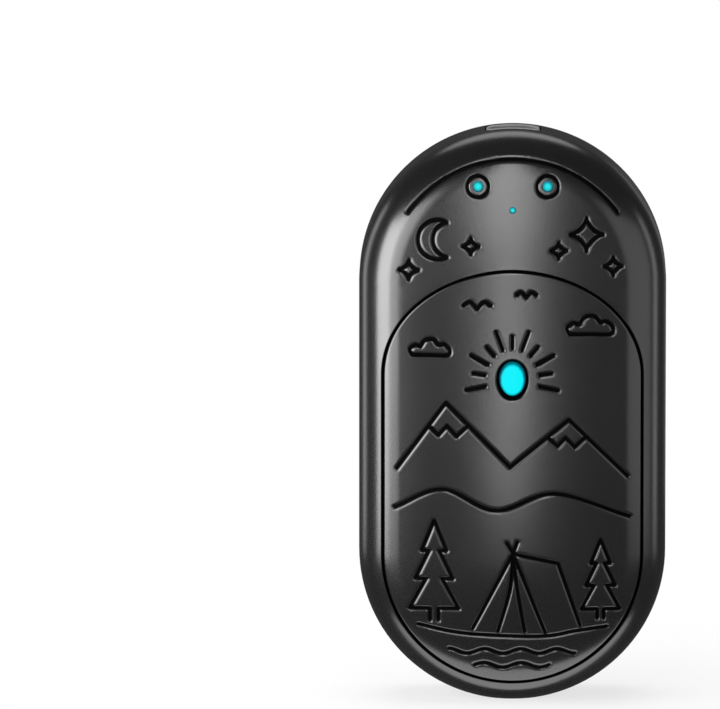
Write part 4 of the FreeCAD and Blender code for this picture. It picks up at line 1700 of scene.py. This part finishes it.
    def port_cells(self, rays: Rays, side_y: Array) -> tuple[Array, Array]:
        """Cells of the top wall that the port's hole takes, with the points round it drawn to its outline.

        A cell goes where its middle lies in the hole. A point between a cell that goes and one that stays
        moves straight to the outline.

        Args:
            rays: Rays round the case.
            side_y: Depths of the wall's rows, as a column.

        Returns:
            The cells that go, and every point's direction across the case.
        """
        half = self.form.half_width
        x, y = np.broadcast_arrays(rays.across * half, side_y)
        middle = [(grid[:-1, :-1] + grid[1:, 1:]) / 2 for grid in (x, y)]
        gone = (self.port.outset(*middle)[0] < 0) & (rays.up[:-1] > self.top_rise)
        around = np.pad(gone, 1)
        corners = np.stack([around[:-1, :-1], around[1:, :-1], around[:-1, 1:], around[1:, 1:]])
        edge = corners.any(axis=0) & ~corners.all(axis=0)
        away, way = self.port.outset(x, y)
        return gone, np.where(edge, x - away * way[..., 0], x) / half

    def round_seats(self, points: Array, faced: Array) -> tuple[Array, Array]:
        """Draws the face's grid round each window into circles, so that its seat and its ring are round.

        The squares of the grid about the place nearest to a window become circles, evenly divided. The last
        circle inside the seat lies a seam within the first one outside it. Past the ring the circles pass
        back into the grid by a smooth step.

        Args:
            points: Points in rows and columns.
            faced: Which of them lie on the face.

        Returns:
            The moved points, and which of them lie inside a seat.
        """
        points = points.copy()
        sunk = np.zeros(faced.shape, bool)
        for window in self.windows:
            flat = points[..., [0, 2]]
            away = np.where(faced, window.away(flat[..., 0], flat[..., 1]), np.inf)
            row, column = np.unravel_index(away.argmin(), away.shape)
            along = flat[row, column + 1] - flat[row, column - 1]
            out = flat[row + 1, column] - flat[row - 1, column]
            step = (np.linalg.norm(along) + np.linalg.norm(out)) / 4
            first = along / np.linalg.norm(along)
            second = np.array([-first[1], first[0]])
            second = second * np.sign(second @ out)
            down, across = np.indices(faced.shape) - np.array([row, column])[:, None, None]
            ring = np.maximum(np.abs(down), np.abs(across))
            wide = np.abs(across) >= np.abs(down)
            major, minor = np.where(wide, across, down), np.where(wide, down, across)
            lean = math.pi / 4 * minor / np.where(major == 0, 1, major)
            turn = np.where(wide, lean, math.pi / 2 - lean) + math.pi * (major < 0)
            inside = max(2, round(window.seat / step))
            within = (window.seat - self.seam) * ring / (inside - 1)
            reach = np.where(ring < inside, within, window.seat + (ring - inside) * step)[..., None]
            way = np.cos(turn)[..., None] * first + np.sin(turn)[..., None] * second
            circle = window.middle + reach * way
            edge = max(window.ring_radius + self.ring_width / 2, window.seat)
            held = inside + math.ceil((edge - window.seat) / step)
            share = np.clip((held + self.seat_fade - ring) / self.seat_fade, 0, 1) * faced
            share = share**2 * (3 - 2 * share)
            moved = flat + (circle - flat) * share[..., None]
            depth = self.form.front(self.form.spread(moved[..., 0], moved[..., 1]))
            points[..., [0, 2]] = moved
            points[..., 1] = np.where(share > 0, depth, points[..., 1])
            sunk |= faced & (ring < inside)
        return points, sunk

    def cut(self, points: Array, faced: Array) -> tuple[Array, Array]:
        """Cuts the drawing, the rings and the window seats into the face.

        Args:
            points: Points in rows and columns.
            faced: Which of them lie on the face.

        Returns:
            The cut points and, at each, the share of the painted shade of grooves and rings, full in the
            window seats.
        """
        points, sunk = self.round_seats(points, faced)
        x, z = points[..., 0], points[..., 2]
        groove = self.engraving.share(x, z) * faced
        depth = groove * self.engraving.depth
        for window in self.windows:
            if window.ring_radius > 0:
                middle = window.ring_radius - self.ring_width / 2
                off = np.abs(window.away(x, z) - middle) / (self.ring_width * self.ring_spread)
                ring = (0.5 + 0.5 * np.cos(math.pi * np.clip(off, 0, 1))) * faced
                groove = np.maximum(groove, ring)
                depth = np.maximum(depth, ring * self.ring_depth)
        points[..., 1] += np.where(sunk, self.form.wall * self.seat_depth, depth)
        # Painted shade: the window seats are fully dark.
        return points, np.where(sunk, 1.0, groove)

    def floor(self) -> Surface:
        """Skin of the recess floor behind the panel, painted in shade all over, with the button's hole.

        Returns:
            The closed skin.
        """
        plate = Plate(
            self.form,
            self.outline,
            self.button,
            grow=-self.ledge,
            hole_grow=self.button_clearance,
            sink=self.recess,
            thickness=self.form.wall - self.recess,
            edge_radius=self.lip_radius / 2,
            step=self.floor_stretch * self.step,
            end_rate=self.floor_rate,
            fine_step=self.floor_fine_step,
        )
        skin = plate.surface()
        # Painted shade: the whole floor gets the dark finish.
        skin.marks["groove"] = np.ones(len(skin.points))
        return skin

    def build(self) -> Object:
        """Builds and dresses the front shell."""
        skin = self.rim().outward().joined(self.floor().outward())
        return dress(skin, "front_shell_skin", Body.CASE, "case_plastic", self.finish, "front_shell")


@dataclass(frozen=True)
class BackShell:
    """Back half of the case: its edge arc, its flat back and the tongue that fits the front shell."""

    form: CaseForm
    finish: SatinCase
    parting_radius: float = 0.0003
    rim_wall: float = 0.0011
    tongue_clearance: float = 0.0001
    tongue: float = 0.0016
    inner_rows: int = 10
    parting_rows: int = 6
    outer_rows: int = 26
    end_rays: int = 97
    side_rays: int = 30

    def build(self) -> Object:
        """Builds and dresses the back shell.

        The profile leaves the inner flat, follows the inner arc, goes round the tongue and the parting edge,
        and follows the outer arc to the flat back. It is carried round the case, and flat faces close it.

        Returns:
            The piece.
        """
        form = self.form
        centre = form.half_width - form.back_edge_radius
        inner = form.back_edge_radius - form.wall
        cavity = form.half_width - form.wall
        tongue_u = form.half_width - self.rim_wall - self.tongue_clearance
        tongue_y = form.parting_y - self.tongue
        turn = np.linspace(math.pi, math.pi / 2, self.inner_rows)
        inside = np.stack([centre + inner * np.sin(turn), form.parting_y - inner * np.cos(turn)])
        tongue = np.array([[cavity, tongue_u, tongue_u], [tongue_y, tongue_y, form.parting_y]])
        turn = np.linspace(0, math.pi / 2, self.parting_rows)
        edge = np.stack(
            [
                form.half_width - self.parting_radius * (1 - np.sin(turn)),
                form.parting_y + self.parting_radius * (1 - np.cos(turn)),
            ]
        )
        start = math.pi / 2 + self.parting_radius / form.back_edge_radius
        turn = np.linspace(start, math.pi, self.outer_rows)
        outside = np.stack(
            [
                centre + form.back_edge_radius * np.sin(turn),
                form.parting_y - form.back_edge_radius * np.cos(turn),
            ]
        )
        profile = np.concatenate([inside, tongue, edge, outside[:, 1:]], axis=1)
        turns = np.linspace(0, math.pi, self.end_rays)
        sides = np.linspace(form.low_z, form.high_z, self.side_rays)
        rays = Rays.round_case(form, turns, sides, turns)
        u = np.broadcast_to(profile[0][:, None], (profile.shape[1], len(rays.root_z)))
        y = np.broadcast_to(profile[1][:, None], u.shape)
        outermost = u > tongue_u + self.tongue_clearance
        # Rubbed parting edge, also a painted highlight.
        wear = np.exp(-np.abs(y - form.parting_y) / (2 * self.parting_radius)) * outermost
        skin = Surface.from_rows(rays.points(u, y), closed=False, marks={"wear": wear})
        return dress(skin, "back_shell_skin", Body.CASE, "case_plastic", self.finish, "back_shell")


@dataclass(frozen=True)
class HeatPanel:
    """Inset heating panel with its line drawing and the hole for the button."""

    form: CaseForm
    outline: PanelOutline
    button: Oval
    engraving: Engraving
    finish: SatinCase
    thickness: float = 0.001
    hole_grow: float = 0.0007
    edge_radius: float = 0.0003
    step: float = 0.00023

    def build(self) -> Object:
        """Builds and dresses the panel.

        Returns:
            The piece.
        """
        plate = Plate(
            self.form,
            self.outline,
            self.button,
            hole_grow=self.hole_grow,
            thickness=self.thickness,
            edge_radius=self.edge_radius,
            step=self.step,
        )
        skin = plate.surface(self.engraving)
        return dress(skin, "heat_panel_skin", Body.CASE, "panel_coating", self.finish, "front_heat_panel")


@dataclass(frozen=True)
class PowerButton:
    """Lit oval button: a crowned cap with a round edge, the flange that holds it in and its short stem."""

    form: CaseForm
    oval: Oval
    sink: float = 0.0001
    crown: float = 0.00022
    edge_radius: float = 0.00045
    flange_rim: float = 0.0012
    flange_front_y: float = -0.00965
    flange_back_y: float = -0.00885
    stem_radius: float = 0.0012
    stem_y: float = -0.0084
    columns: int = 128
    side_rows: int = 5
    cap_rows: tuple[tuple[float, float, int], ...] = ((0.02, 0.8, 22), (0.82, 1.0, 16))

    def build(self) -> Object:
        """Builds and dresses the button.

        Rows go out over the crowned cap, whose drop grows with the square of the share of the way to the
        edge, round the edge, down the side, over the flange and in to the stem. Each row is an oval.

        Returns:
            The piece.
        """
        oval = self.oval
        share = stepped(self.cap_rows)
        inset = (1 - share) * oval.half
        cap_y = self.form.front_y + self.sink + self.crown * share**2 + rounding(inset, self.edge_radius)
        side_y = np.linspace(cap_y[-1], self.flange_front_y, self.side_rows + 1)[1:]
        flange = np.array(
            [
                (oval.half + self.flange_rim, oval.rise + self.flange_rim, self.flange_front_y),
                (oval.half + self.flange_rim, oval.rise + self.flange_rim, self.flange_back_y),
                (self.stem_radius, self.stem_radius, self.flange_back_y),
                (self.stem_radius, self.stem_radius, self.stem_y),
            ]
        )
        half = np.concatenate([share * oval.half, np.full(self.side_rows, oval.half), flange[:, 0]])
        rise = np.concatenate([share * oval.rise, np.full(self.side_rows, oval.rise), flange[:, 1]])
        depth = np.concatenate([cap_y, side_y, flange[:, 2]])
        turn = np.linspace(0, 2 * math.pi, self.columns, endpoint=False)
        x = half[:, None] * np.cos(turn)
        z = oval.middle_z + rise[:, None] * np.sin(turn)
        rows = np.stack([x, np.broadcast_to(depth[:, None], x.shape), z], axis=-1)
        finish = LitPlastic("button_cyan_lit", (0.0, oval.middle_z), (oval.half, oval.rise))
        skin = Surface.from_rows(rows, closed=False)
        return dress(skin, "power_button_cap", Body.BUTTON, "button_cyan", finish, "power_button")


@dataclass(frozen=True)
class LightPipe:
    """Clear pipe that carries a lamp's light to its window, with a flange behind the wall."""

    form: CaseForm
    window: Window
    sink: float = 0.00005
    edge_radius: float = 0.00018
    flange: float = 0.0006
    seat_gap: float = 0.0001
    columns: int = 72
    face_rows: tuple[tuple[float, float, int], ...] = ((0.03, 0.75, 10), (0.78, 1.0, 12))
    core_colour: Colour = (0.014, 0.80, 0.80)
    rim_colour: Colour = (0.006, 0.17, 0.22)
    core_reach: float = 0.25

    def build(self) -> Object:
        """Builds and dresses the pipe: circles carried from the face, which follows the case, to the lamp.

        Returns:
            The piece.
        """
        window = self.window
        _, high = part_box(window.node)
        radius = window.radius
        wide = radius + window.flange_rim
        turn = np.linspace(0, 2 * math.pi, self.columns, endpoint=False)
        share = stepped(self.face_rows)
        reach = np.concatenate([share * radius, [radius, wide, wide, radius, radius]])[:, None]
        x = window.middle[0] + reach * np.cos(turn)
        z = window.middle[1] + reach * np.sin(turn)
        face = self.form.front(self.form.spread(x, z), self.sink)
        face = face + rounding(radius - reach, self.edge_radius)
        far = self.form.spread(*map(np.array, window.middle)) + wide
        seat = self.form.front(far, self.form.wall) + self.seat_gap
        depth = np.array([seat, seat, seat + self.flange, seat + self.flange, high.y])[:, None]
        y = np.concatenate([face[: len(share)], np.broadcast_to(depth, (len(depth), self.columns))])
        finish = LitPlastic(
            window.piece + "_lit", window.middle, (radius, radius), self.core_colour, self.rim_colour,
            core_reach=self.core_reach,
        )
        skin = Surface.from_rows(np.stack([x, y, z], axis=-1), closed=False)
        return dress(skin, window.piece, Body.CASE, "window_cyan", finish, window.node)


@dataclass(frozen=True)
class ChargingPort:
    """Charging port in the top wall: the insert round its mouth and the steel sleeve."""

    form: CaseForm
    mouth_clearance: float = 0.00015
    bezel_corner: float = 0.0014
    bezel_thickness: float = 0.00117
    bezel_edge: float = 0.00025
    mouth_edge: float = 0.00035
    mouth_lean: float = 0.5
    sheet: float = 0.0003
    edge_rows: int = 6
    roll_rows: int = 9
    bezel_finish: MouldedPlastic = MouldedPlastic("bezel_grey_satin", (0.32, 0.32, 0.325), 0.36)
    sleeve_finish: DrawnMetal = DrawnMetal(
        "port_sleeve_steel", (0.60, 0.60, 0.62), 0.26, stretch=(0.08, 1.0, 1.0)
    )

    def top(self, x: Array, sink: Array) -> Array:
        """Height of the case's round top, shrunk by a sink, over places x."""
        return self.form.high_z + np.sqrt((self.form.half_width - sink) ** 2 - x**2)

    def bezel(self) -> Object:
        """Builds the insert: rounded rectangles that draw in over a round edge to the mouth.

        Returns:
            The piece.
        """
        low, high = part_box("usb_bezel")
        sleeve_low, sleeve_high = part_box("usb_port_shell")
        half_x, half_y = high.x, (high.y - low.y) / 2
        mouth_x = sleeve_high.x + self.mouth_clearance
        mouth_y = (sleeve_high.y - sleeve_low.y) / 2 + self.mouth_clearance
        turn = np.linspace(0, math.pi / 2, self.edge_rows)
        outer_in = np.concatenate([[0.0, 0.0], self.bezel_edge * (1 - np.cos(turn))[1:]])
        drop = self.bezel_edge * (1 - np.sin(turn))[1:]
        outer_sink = np.concatenate([[self.bezel_thickness, self.bezel_edge], drop])
        mouth_out = np.concatenate([self.mouth_edge * (1 - np.sin(turn)) * self.mouth_lean, [0.0]])
        mouth_sink = np.concatenate([self.mouth_edge * (1 - np.cos(turn)), [self.bezel_thickness]])
        corner = self.bezel_corner
        loops = [rounded_loop(half_x - inset, half_y - inset, corner - inset) for inset in outer_in]
        loops += [rounded_loop(mouth_x + out, mouth_y + out, mouth_y + out) for out in mouth_out]
        flat = np.stack(loops)
        sink = np.concatenate([outer_sink, mouth_sink])[:, None]
        x = flat[..., 0]
        y = (low.y + high.y) / 2 + flat[..., 1]
        rows = np.stack([x, y, self.top(x, sink)], axis=-1)
        skin = Surface.from_rows(rows, closed=True)
        return dress(skin, "port_bezel", Body.CASE, "bezel_grey", self.bezel_finish, "usb_bezel")

    def sleeve(self) -> Object:
        """Builds the sleeve: a folded sheet with a rolled mouth, closed at its bottom.

        Returns:
            The piece.
        """
        low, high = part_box("usb_port_shell")
        half_x, half_y = high.x, (high.y - low.y) / 2
        roll = self.sheet / 2
        turn = np.linspace(0, math.pi, self.roll_rows)
        inset = np.concatenate([[0.0], roll * (1 - np.cos(turn)), [self.sheet]])
        height = np.concatenate([[low.z], high.z - roll * (1 - np.sin(turn)), [low.z + self.sheet]])
        flat = np.stack([rounded_loop(half_x - step, half_y - step, half_y - step) for step in inset])
        y = (low.y + high.y) / 2 + flat[..., 1]
        z = np.broadcast_to(height[:, None], y.shape)
        skin = Surface.from_rows(np.stack([flat[..., 0], y, z], axis=-1), closed=False)
        return dress(skin, "port_sleeve", Body.CASE, "port_steel", self.sleeve_finish, "usb_port_shell")

    def build(self) -> list[Object]:
        """Builds and dresses the insert and the sleeve."""
        return [self.bezel(), self.sleeve()]


@dataclass(frozen=True)
class Innards:
    """Finishes of the parts that stay as the frame has them."""

    finishes: Mapping[str, Finish] = field(
        default_factory=lambda: {
            "port_core": MouldedPlastic("port_core_black", (0.018, 0.018, 0.02), 0.45),
            "contact_gold": DrawnMetal("contact_gold_plate", (0.83, 0.58, 0.22), 0.22),
            "board_green": TrackedSheet(
                "board_solder_mask", (0.012, 0.12, 0.05), (0.03, 0.26, 0.10), 0.34, pitch=0.0011
            ),
            "film_amber": TrackedSheet(
                "heater_film_amber", (0.46, 0.20, 0.03), (0.68, 0.36, 0.10), 0.3, pitch=0.0022
            ),
            "glue_black": MouldedPlastic("adhesive_tape_black", (0.02, 0.02, 0.02), 0.7, 1500.0, 0.00003),
            "pad_foam": CellFoam("insulating_foam_grey", (0.24, 0.24, 0.25)),
            "cell_foil": CrinkledFoil("cell_pouch_foil", (0.66, 0.66, 0.68)),
            "tray_plastic": MouldedPlastic("tray_dark_grey", (0.085, 0.085, 0.09), 0.5),
            "shroud_black": MouldedPlastic("shroud_rubber", (0.018, 0.018, 0.018), 0.68),
            "chip_black": MouldedPlastic("chip_package_black", (0.022, 0.022, 0.022), 0.55, 4800.0),
            "ferrite_grey": MouldedPlastic("inductor_ferrite", (0.12, 0.12, 0.125), 0.6, 2600.0, 0.00002),
            "capacitor_tan": MouldedPlastic("capacitor_ceramic", (0.5, 0.35, 0.19), 0.35),
            "lamp_white": MouldedPlastic("lamp_package", (0.84, 0.84, 0.76), 0.3),
            "connector_white": MouldedPlastic("connector_nylon", (0.78, 0.76, 0.69), 0.42),
            "wire_red": MouldedPlastic("lead_silicone_red", (0.48, 0.018, 0.018), 0.48),
            "wire_black": MouldedPlastic("lead_silicone_black", (0.018, 0.018, 0.018), 0.48),
            "wire_white": MouldedPlastic("lead_silicone_white", (0.75, 0.75, 0.72), 0.48),
            "sensor_black": MouldedPlastic("sensor_epoxy", (0.03, 0.03, 0.03), 0.3),
            "ribbon_white": TrackedSheet(
                "ribbon_laminate", (0.74, 0.74, 0.72), (0.52, 0.47, 0.40), 0.35, pitch=0.0006, bend=0.0
            ),
            "screw_steel": DrawnMetal("screw_zinc", (0.52, 0.52, 0.53), 0.3),
        }
    )

    def build(self, nodes: Mapping[str, Object], slots: Mapping[str, str]) -> list[Object]:
        """Dresses every node that still shows.

        Args:
            nodes: The frame's objects by node.
            slots: Each node's material slot.

        Returns:
            The dressed nodes.
        """
        made = {slot: finish.material() for slot, finish in self.finishes.items()}
        shown = {node: piece for node, piece in sorted(nodes.items()) if not piece.hide_render}
        for node, piece in shown.items():
            piece.data.materials.clear()
            piece.data.materials.append(made[slots[node]])
        return list(shown.values())


@dataclass(frozen=True)
class Softbox:
    """Flat lamp aimed at a place on the object."""

    name: str
    place: tuple[float, float, float]
    size: tuple[float, float]
    level: float
    aim: tuple[float, float, float]
    mirrored: bool = True
    shape: LampShape = LampShape.RECTANGLE

    def build(self) -> None:
        """Puts the lamp into the scene; its power is its level times pi, its width and its height."""
        lamp = bpy.data.lights.new(self.name, "AREA")
        lamp.shape = self.shape.value
        lamp.size, lamp.size_y = self.size
        lamp.energy = self.level * math.pi * self.size[0] * self.size[1]
        stand = bpy.data.objects.new(self.name, lamp)
        stand.location = self.place
        stand.rotation_euler = (Vector(self.aim) - Vector(self.place)).to_track_quat("-Z", "Y").to_euler()
        stand.visible_camera = False
        stand.visible_glossy = self.mirrored
        bpy.context.scene.collection.objects.link(stand)


@dataclass(frozen=True)
class Studio:
    """Pale sweep, soft lamps and the camera, at the picture's view."""

    picture: tuple[int, int] = (720, 709)
    middle_pixel: tuple[float, float] = (512.5, 411.8)
    pixel: float = 0.00018805
    distance: float = 2.5
    elevation: float = 9.25
    sensor: float = 36.0
    paper_glow: float = 0.74
    paper_mirrored: float = 0.08
    paper_colour: Colour = (0.93, 0.93, 0.93)
    fibre_colour: Colour = (0.88, 0.88, 0.88)
    fibre_scale: float = 900.0
    fibre_tint: float = 0.3
    paper_roughness: float = 0.9
    shadow_reach: Span = (0.035, 0.10)
    world_level: float = 0.06
    sweep_half: float = 3.0
    sweep_front: float = -3.0
    sweep_back: float = 1.6
    sweep_radius: float = 0.9
    sweep_height: float = 2.6
    sweep_rows: int = 24
    softboxes: tuple[Softbox, ...] = (
        Softbox("left_key", (-0.154, -0.083, 0.096), (0.089, 0.112), 5.0, (-0.024, -0.008, 0.096)),
        Softbox("left_key_low", (-0.154, -0.083, 0.021), (0.089, 0.038), 3.6, (-0.024, -0.008, 0.021)),
        Softbox("left_fill", (-0.104, -0.135, 0.096), (0.075, 0.112), 2.45, (-0.020, -0.0105, 0.096)),
        Softbox("left_fill_low", (-0.104, -0.135, 0.021), (0.075, 0.038), 1.8, (-0.020, -0.0105, 0.021)),
        Softbox("front_strip", (-0.002, -0.162, 0.049), (0.018, 0.074), 2.9, (-0.001, -0.012, 0.049)),
        Softbox("brow_strip", (-0.004, -0.162, 0.164), (0.030, 0.156), 3.4, (-0.002, -0.012, 0.164)),
        Softbox("right_fill", (0.144, -0.098, 0.077), (0.18, 0.15), 0.46, (0.024, -0.008, 0.077)),
        Softbox("right_rim", (0.175, 0.022, 0.077), (0.032, 0.15), 1.0, (0.0275, -0.004, 0.077)),
        Softbox("right_edge", (0.105, 0.19, 0.077), (0.07, 0.15), 0.2, (0.0285, 0.004, 0.077)),
        Softbox("left_rim", (-0.155, 0.0765, 0.077), (0.04, 0.15), 1.3, (-0.0275, -0.003, 0.077)),
        Softbox(
            "foot_strip", (0.0, -0.0135, 0.0008), (0.09, 0.011), 0.95, (0.0, -0.0135, 0.1),
            shape=LampShape.OVAL,
        ),
        Softbox(
            "crown_softbox", (-0.012, 0.34, 0.465), (0.48, 0.23), 0.87, (0.0, 0.0, 0.107),
            shape=LampShape.OVAL,
        ),
        Softbox("back_strip", (0.0, 0.162, 0.046), (0.05, 0.088), 2.4, (0.0, 0.012, 0.046)),
        Softbox("overhead", (0.0, 0.05, 0.75), (0.60, 0.50), 4.4, (0.0, 0.05, 0.0), mirrored=False),
    )

    def camera(self) -> None:
        """Aims a long lens so that the object's middle falls on its pixel of the picture."""
        low, high = cad_box
        target = (low + high) / 2
        tilt = math.radians(self.elevation)
        up = Vector((0, math.sin(tilt), math.cos(tilt)))
        away = Vector((0, -math.cos(tilt), math.sin(tilt)))
        right_px = self.middle_pixel[0] - self.picture[0] / 2
        down_px = self.middle_pixel[1] - self.picture[1] / 2
        aim = target - Vector((1, 0, 0)) * right_px * self.pixel + up * down_px * self.pixel
        lens = bpy.data.cameras.new("camera")
        lens.sensor_width = self.sensor
        lens.lens = self.sensor * self.distance / (self.picture[0] * self.pixel)
        stand = bpy.data.objects.new("camera", lens)
        stand.location = target + away * self.distance
        stand.rotation_euler = (aim - stand.location).to_track_quat("-Z", "Y").to_euler()
        bpy.context.scene.collection.objects.link(stand)
        bpy.context.scene.camera = stand

    def sweep(self) -> None:
        """Floor that curves up into a backdrop: a line, a quarter circle and a line, carried across."""
        turn = np.linspace(0, math.pi / 2, self.sweep_rows)
        y = np.concatenate([[self.sweep_front], self.sweep_back + self.sweep_radius * np.sin(turn)])
        z = np.concatenate([[0.0], self.sweep_radius * (1 - np.cos(turn))])
        y = np.append(y, y[-1])
        z = np.append(z, self.sweep_height)
        x = np.array([-self.sweep_half, self.sweep_half])
        rows = np.stack(np.broadcast_arrays(x, y[:, None], z[:, None]), axis=-1)
        index = np.arange(rows.shape[0] * 2).reshape(-1, 2)
        floor = Surface(rows.reshape(-1, 3), lattice(index).reshape(-1, 4)[:, ::-1]).put("floor_sweep")
        floor.data.materials.append(self.sweep_finish())

    def sweep_finish(self) -> Material:
        """White paper that keeps the shadow near the object and reads as plain white further off.

        Returns:
            The material.
        """
        graph = Graph.material("white_paper")
        away = graph.node("ShaderNodeVectorMath", {"operation": "LENGTH"}, {0: graph.place()}, output="Value")
        far = graph.ramp(away, *self.shadow_reach)
        seen = graph.node("ShaderNodeLightPath", output="Is Camera Ray")
        glossy = graph.node("ShaderNodeLightPath", output="Is Glossy Ray")
        through = graph.node("ShaderNodeLightPath", output="Is Transmission Ray")
        plain = (seen * (self.paper_glow + (1 - self.paper_glow) * far)).larger(glossy).larger(through)
        mirrored = 1 - (1 - self.paper_mirrored) * glossy
        fibre = graph.noise(self.fibre_scale, detail=3.0)
        paper = graph.principled(
            {
                "Base Color": graph.mix(fibre * self.fibre_tint, self.paper_colour, self.fibre_colour),
                "Roughness": self.paper_roughness,
                "Specular IOR Level": 0.0,
            }
        )
        glow = {"Color": (1.0, 1.0, 1.0, 1.0), "Strength": mirrored}
        white = graph.node("ShaderNodeEmission", inputs=glow)
        return graph.finish(graph.node("ShaderNodeMixShader", inputs={0: plain, 1: paper, 2: white}))

    def world(self) -> None:
        """Even dim light from all round, which the camera sees as plain white past the paper's edge."""
        graph = Graph.world("studio_world")
        seen = graph.node("ShaderNodeLightPath", output="Is Camera Ray")
        strength = self.world_level + (1 - self.world_level) * seen
        glow = {"Color": (1.0, 1.0, 1.0, 1.0), "Strength": strength}
        sky = graph.node("ShaderNodeBackground", inputs=glow)
        bpy.context.scene.world = graph.finish(sky)

    def build(self) -> None:
        """Sets the stage, the lamps and the camera."""
        bpy.context.scene.view_settings.view_transform = "Standard"
        self.sweep()
        self.world()
        for softbox in self.softboxes:
            softbox.build()
        self.camera()


def main() -> None:
    """Builds every piece in order, dresses the rest of the frame and sets the studio."""
    logging.basicConfig(level=logging.INFO, format="%(name)s %(message)s", force=True)
    form = CaseForm.from_frame()
    outline = PanelOutline.from_frame(form)
    button_low, button_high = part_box("power_button")
    flange_rim = PowerButton.flange_rim
    oval = Oval(
        button_high.x - flange_rim,
        (button_high.z - button_low.z) / 2 - flange_rim,
        (button_low.z + button_high.z) / 2,
    )
    drawing = CampDrawing()
    ring_radius = 0.00235
    windows = (
        Window("light_pipe_left", "window_left", ring_radius),
        Window("light_pipe_right", "window_right", ring_radius),
        Window("indicator_light_pipe", "indicator_dot"),
    )
    # The second colour is that of rubbed edges, also a painted highlight.
    case_black, case_wear_and_sheen = (0.0048, 0.0048, 0.0051), (0.026, 0.026, 0.027)
    case_skin = SatinCase("case_satin_black", case_black, case_wear_and_sheen, 0.245)
    back_skin = SatinCase("back_satin_black", case_black, case_wear_and_sheen, 0.25)
    panel_skin = SatinCase("panel_satin_black", (0.0044, 0.0044, 0.0047), (0.032, 0.032, 0.033), 0.24)
    shell_cut = Engraving(drawing.shell_strokes())
    panel_cut = Engraving(drawing.panel_strokes())
    slots = {part["node"]: part["material_slot"] for part in frame["record"]["subparts"]}
    pieces = [
        FrontShell(form, outline, oval, windows, PortHole(), shell_cut, case_skin).build(),
        BackShell(form, back_skin).build(),
        HeatPanel(form, outline, oval, panel_cut, panel_skin).build(),
        PowerButton(form, oval).build(),
        *(LightPipe(form, window).build() for window in windows),
        *ChargingPort(form).build(),
        *Innards().build(frame["nodes"], slots),
    ]
    for piece in pieces:
        triangles = sum(len(face.vertices) - 2 for face in piece.data.polygons)
        log.info("%s: %d triangles", piece.name, triangles)
    Studio().build()


if __name__ == "__main__":
    main()
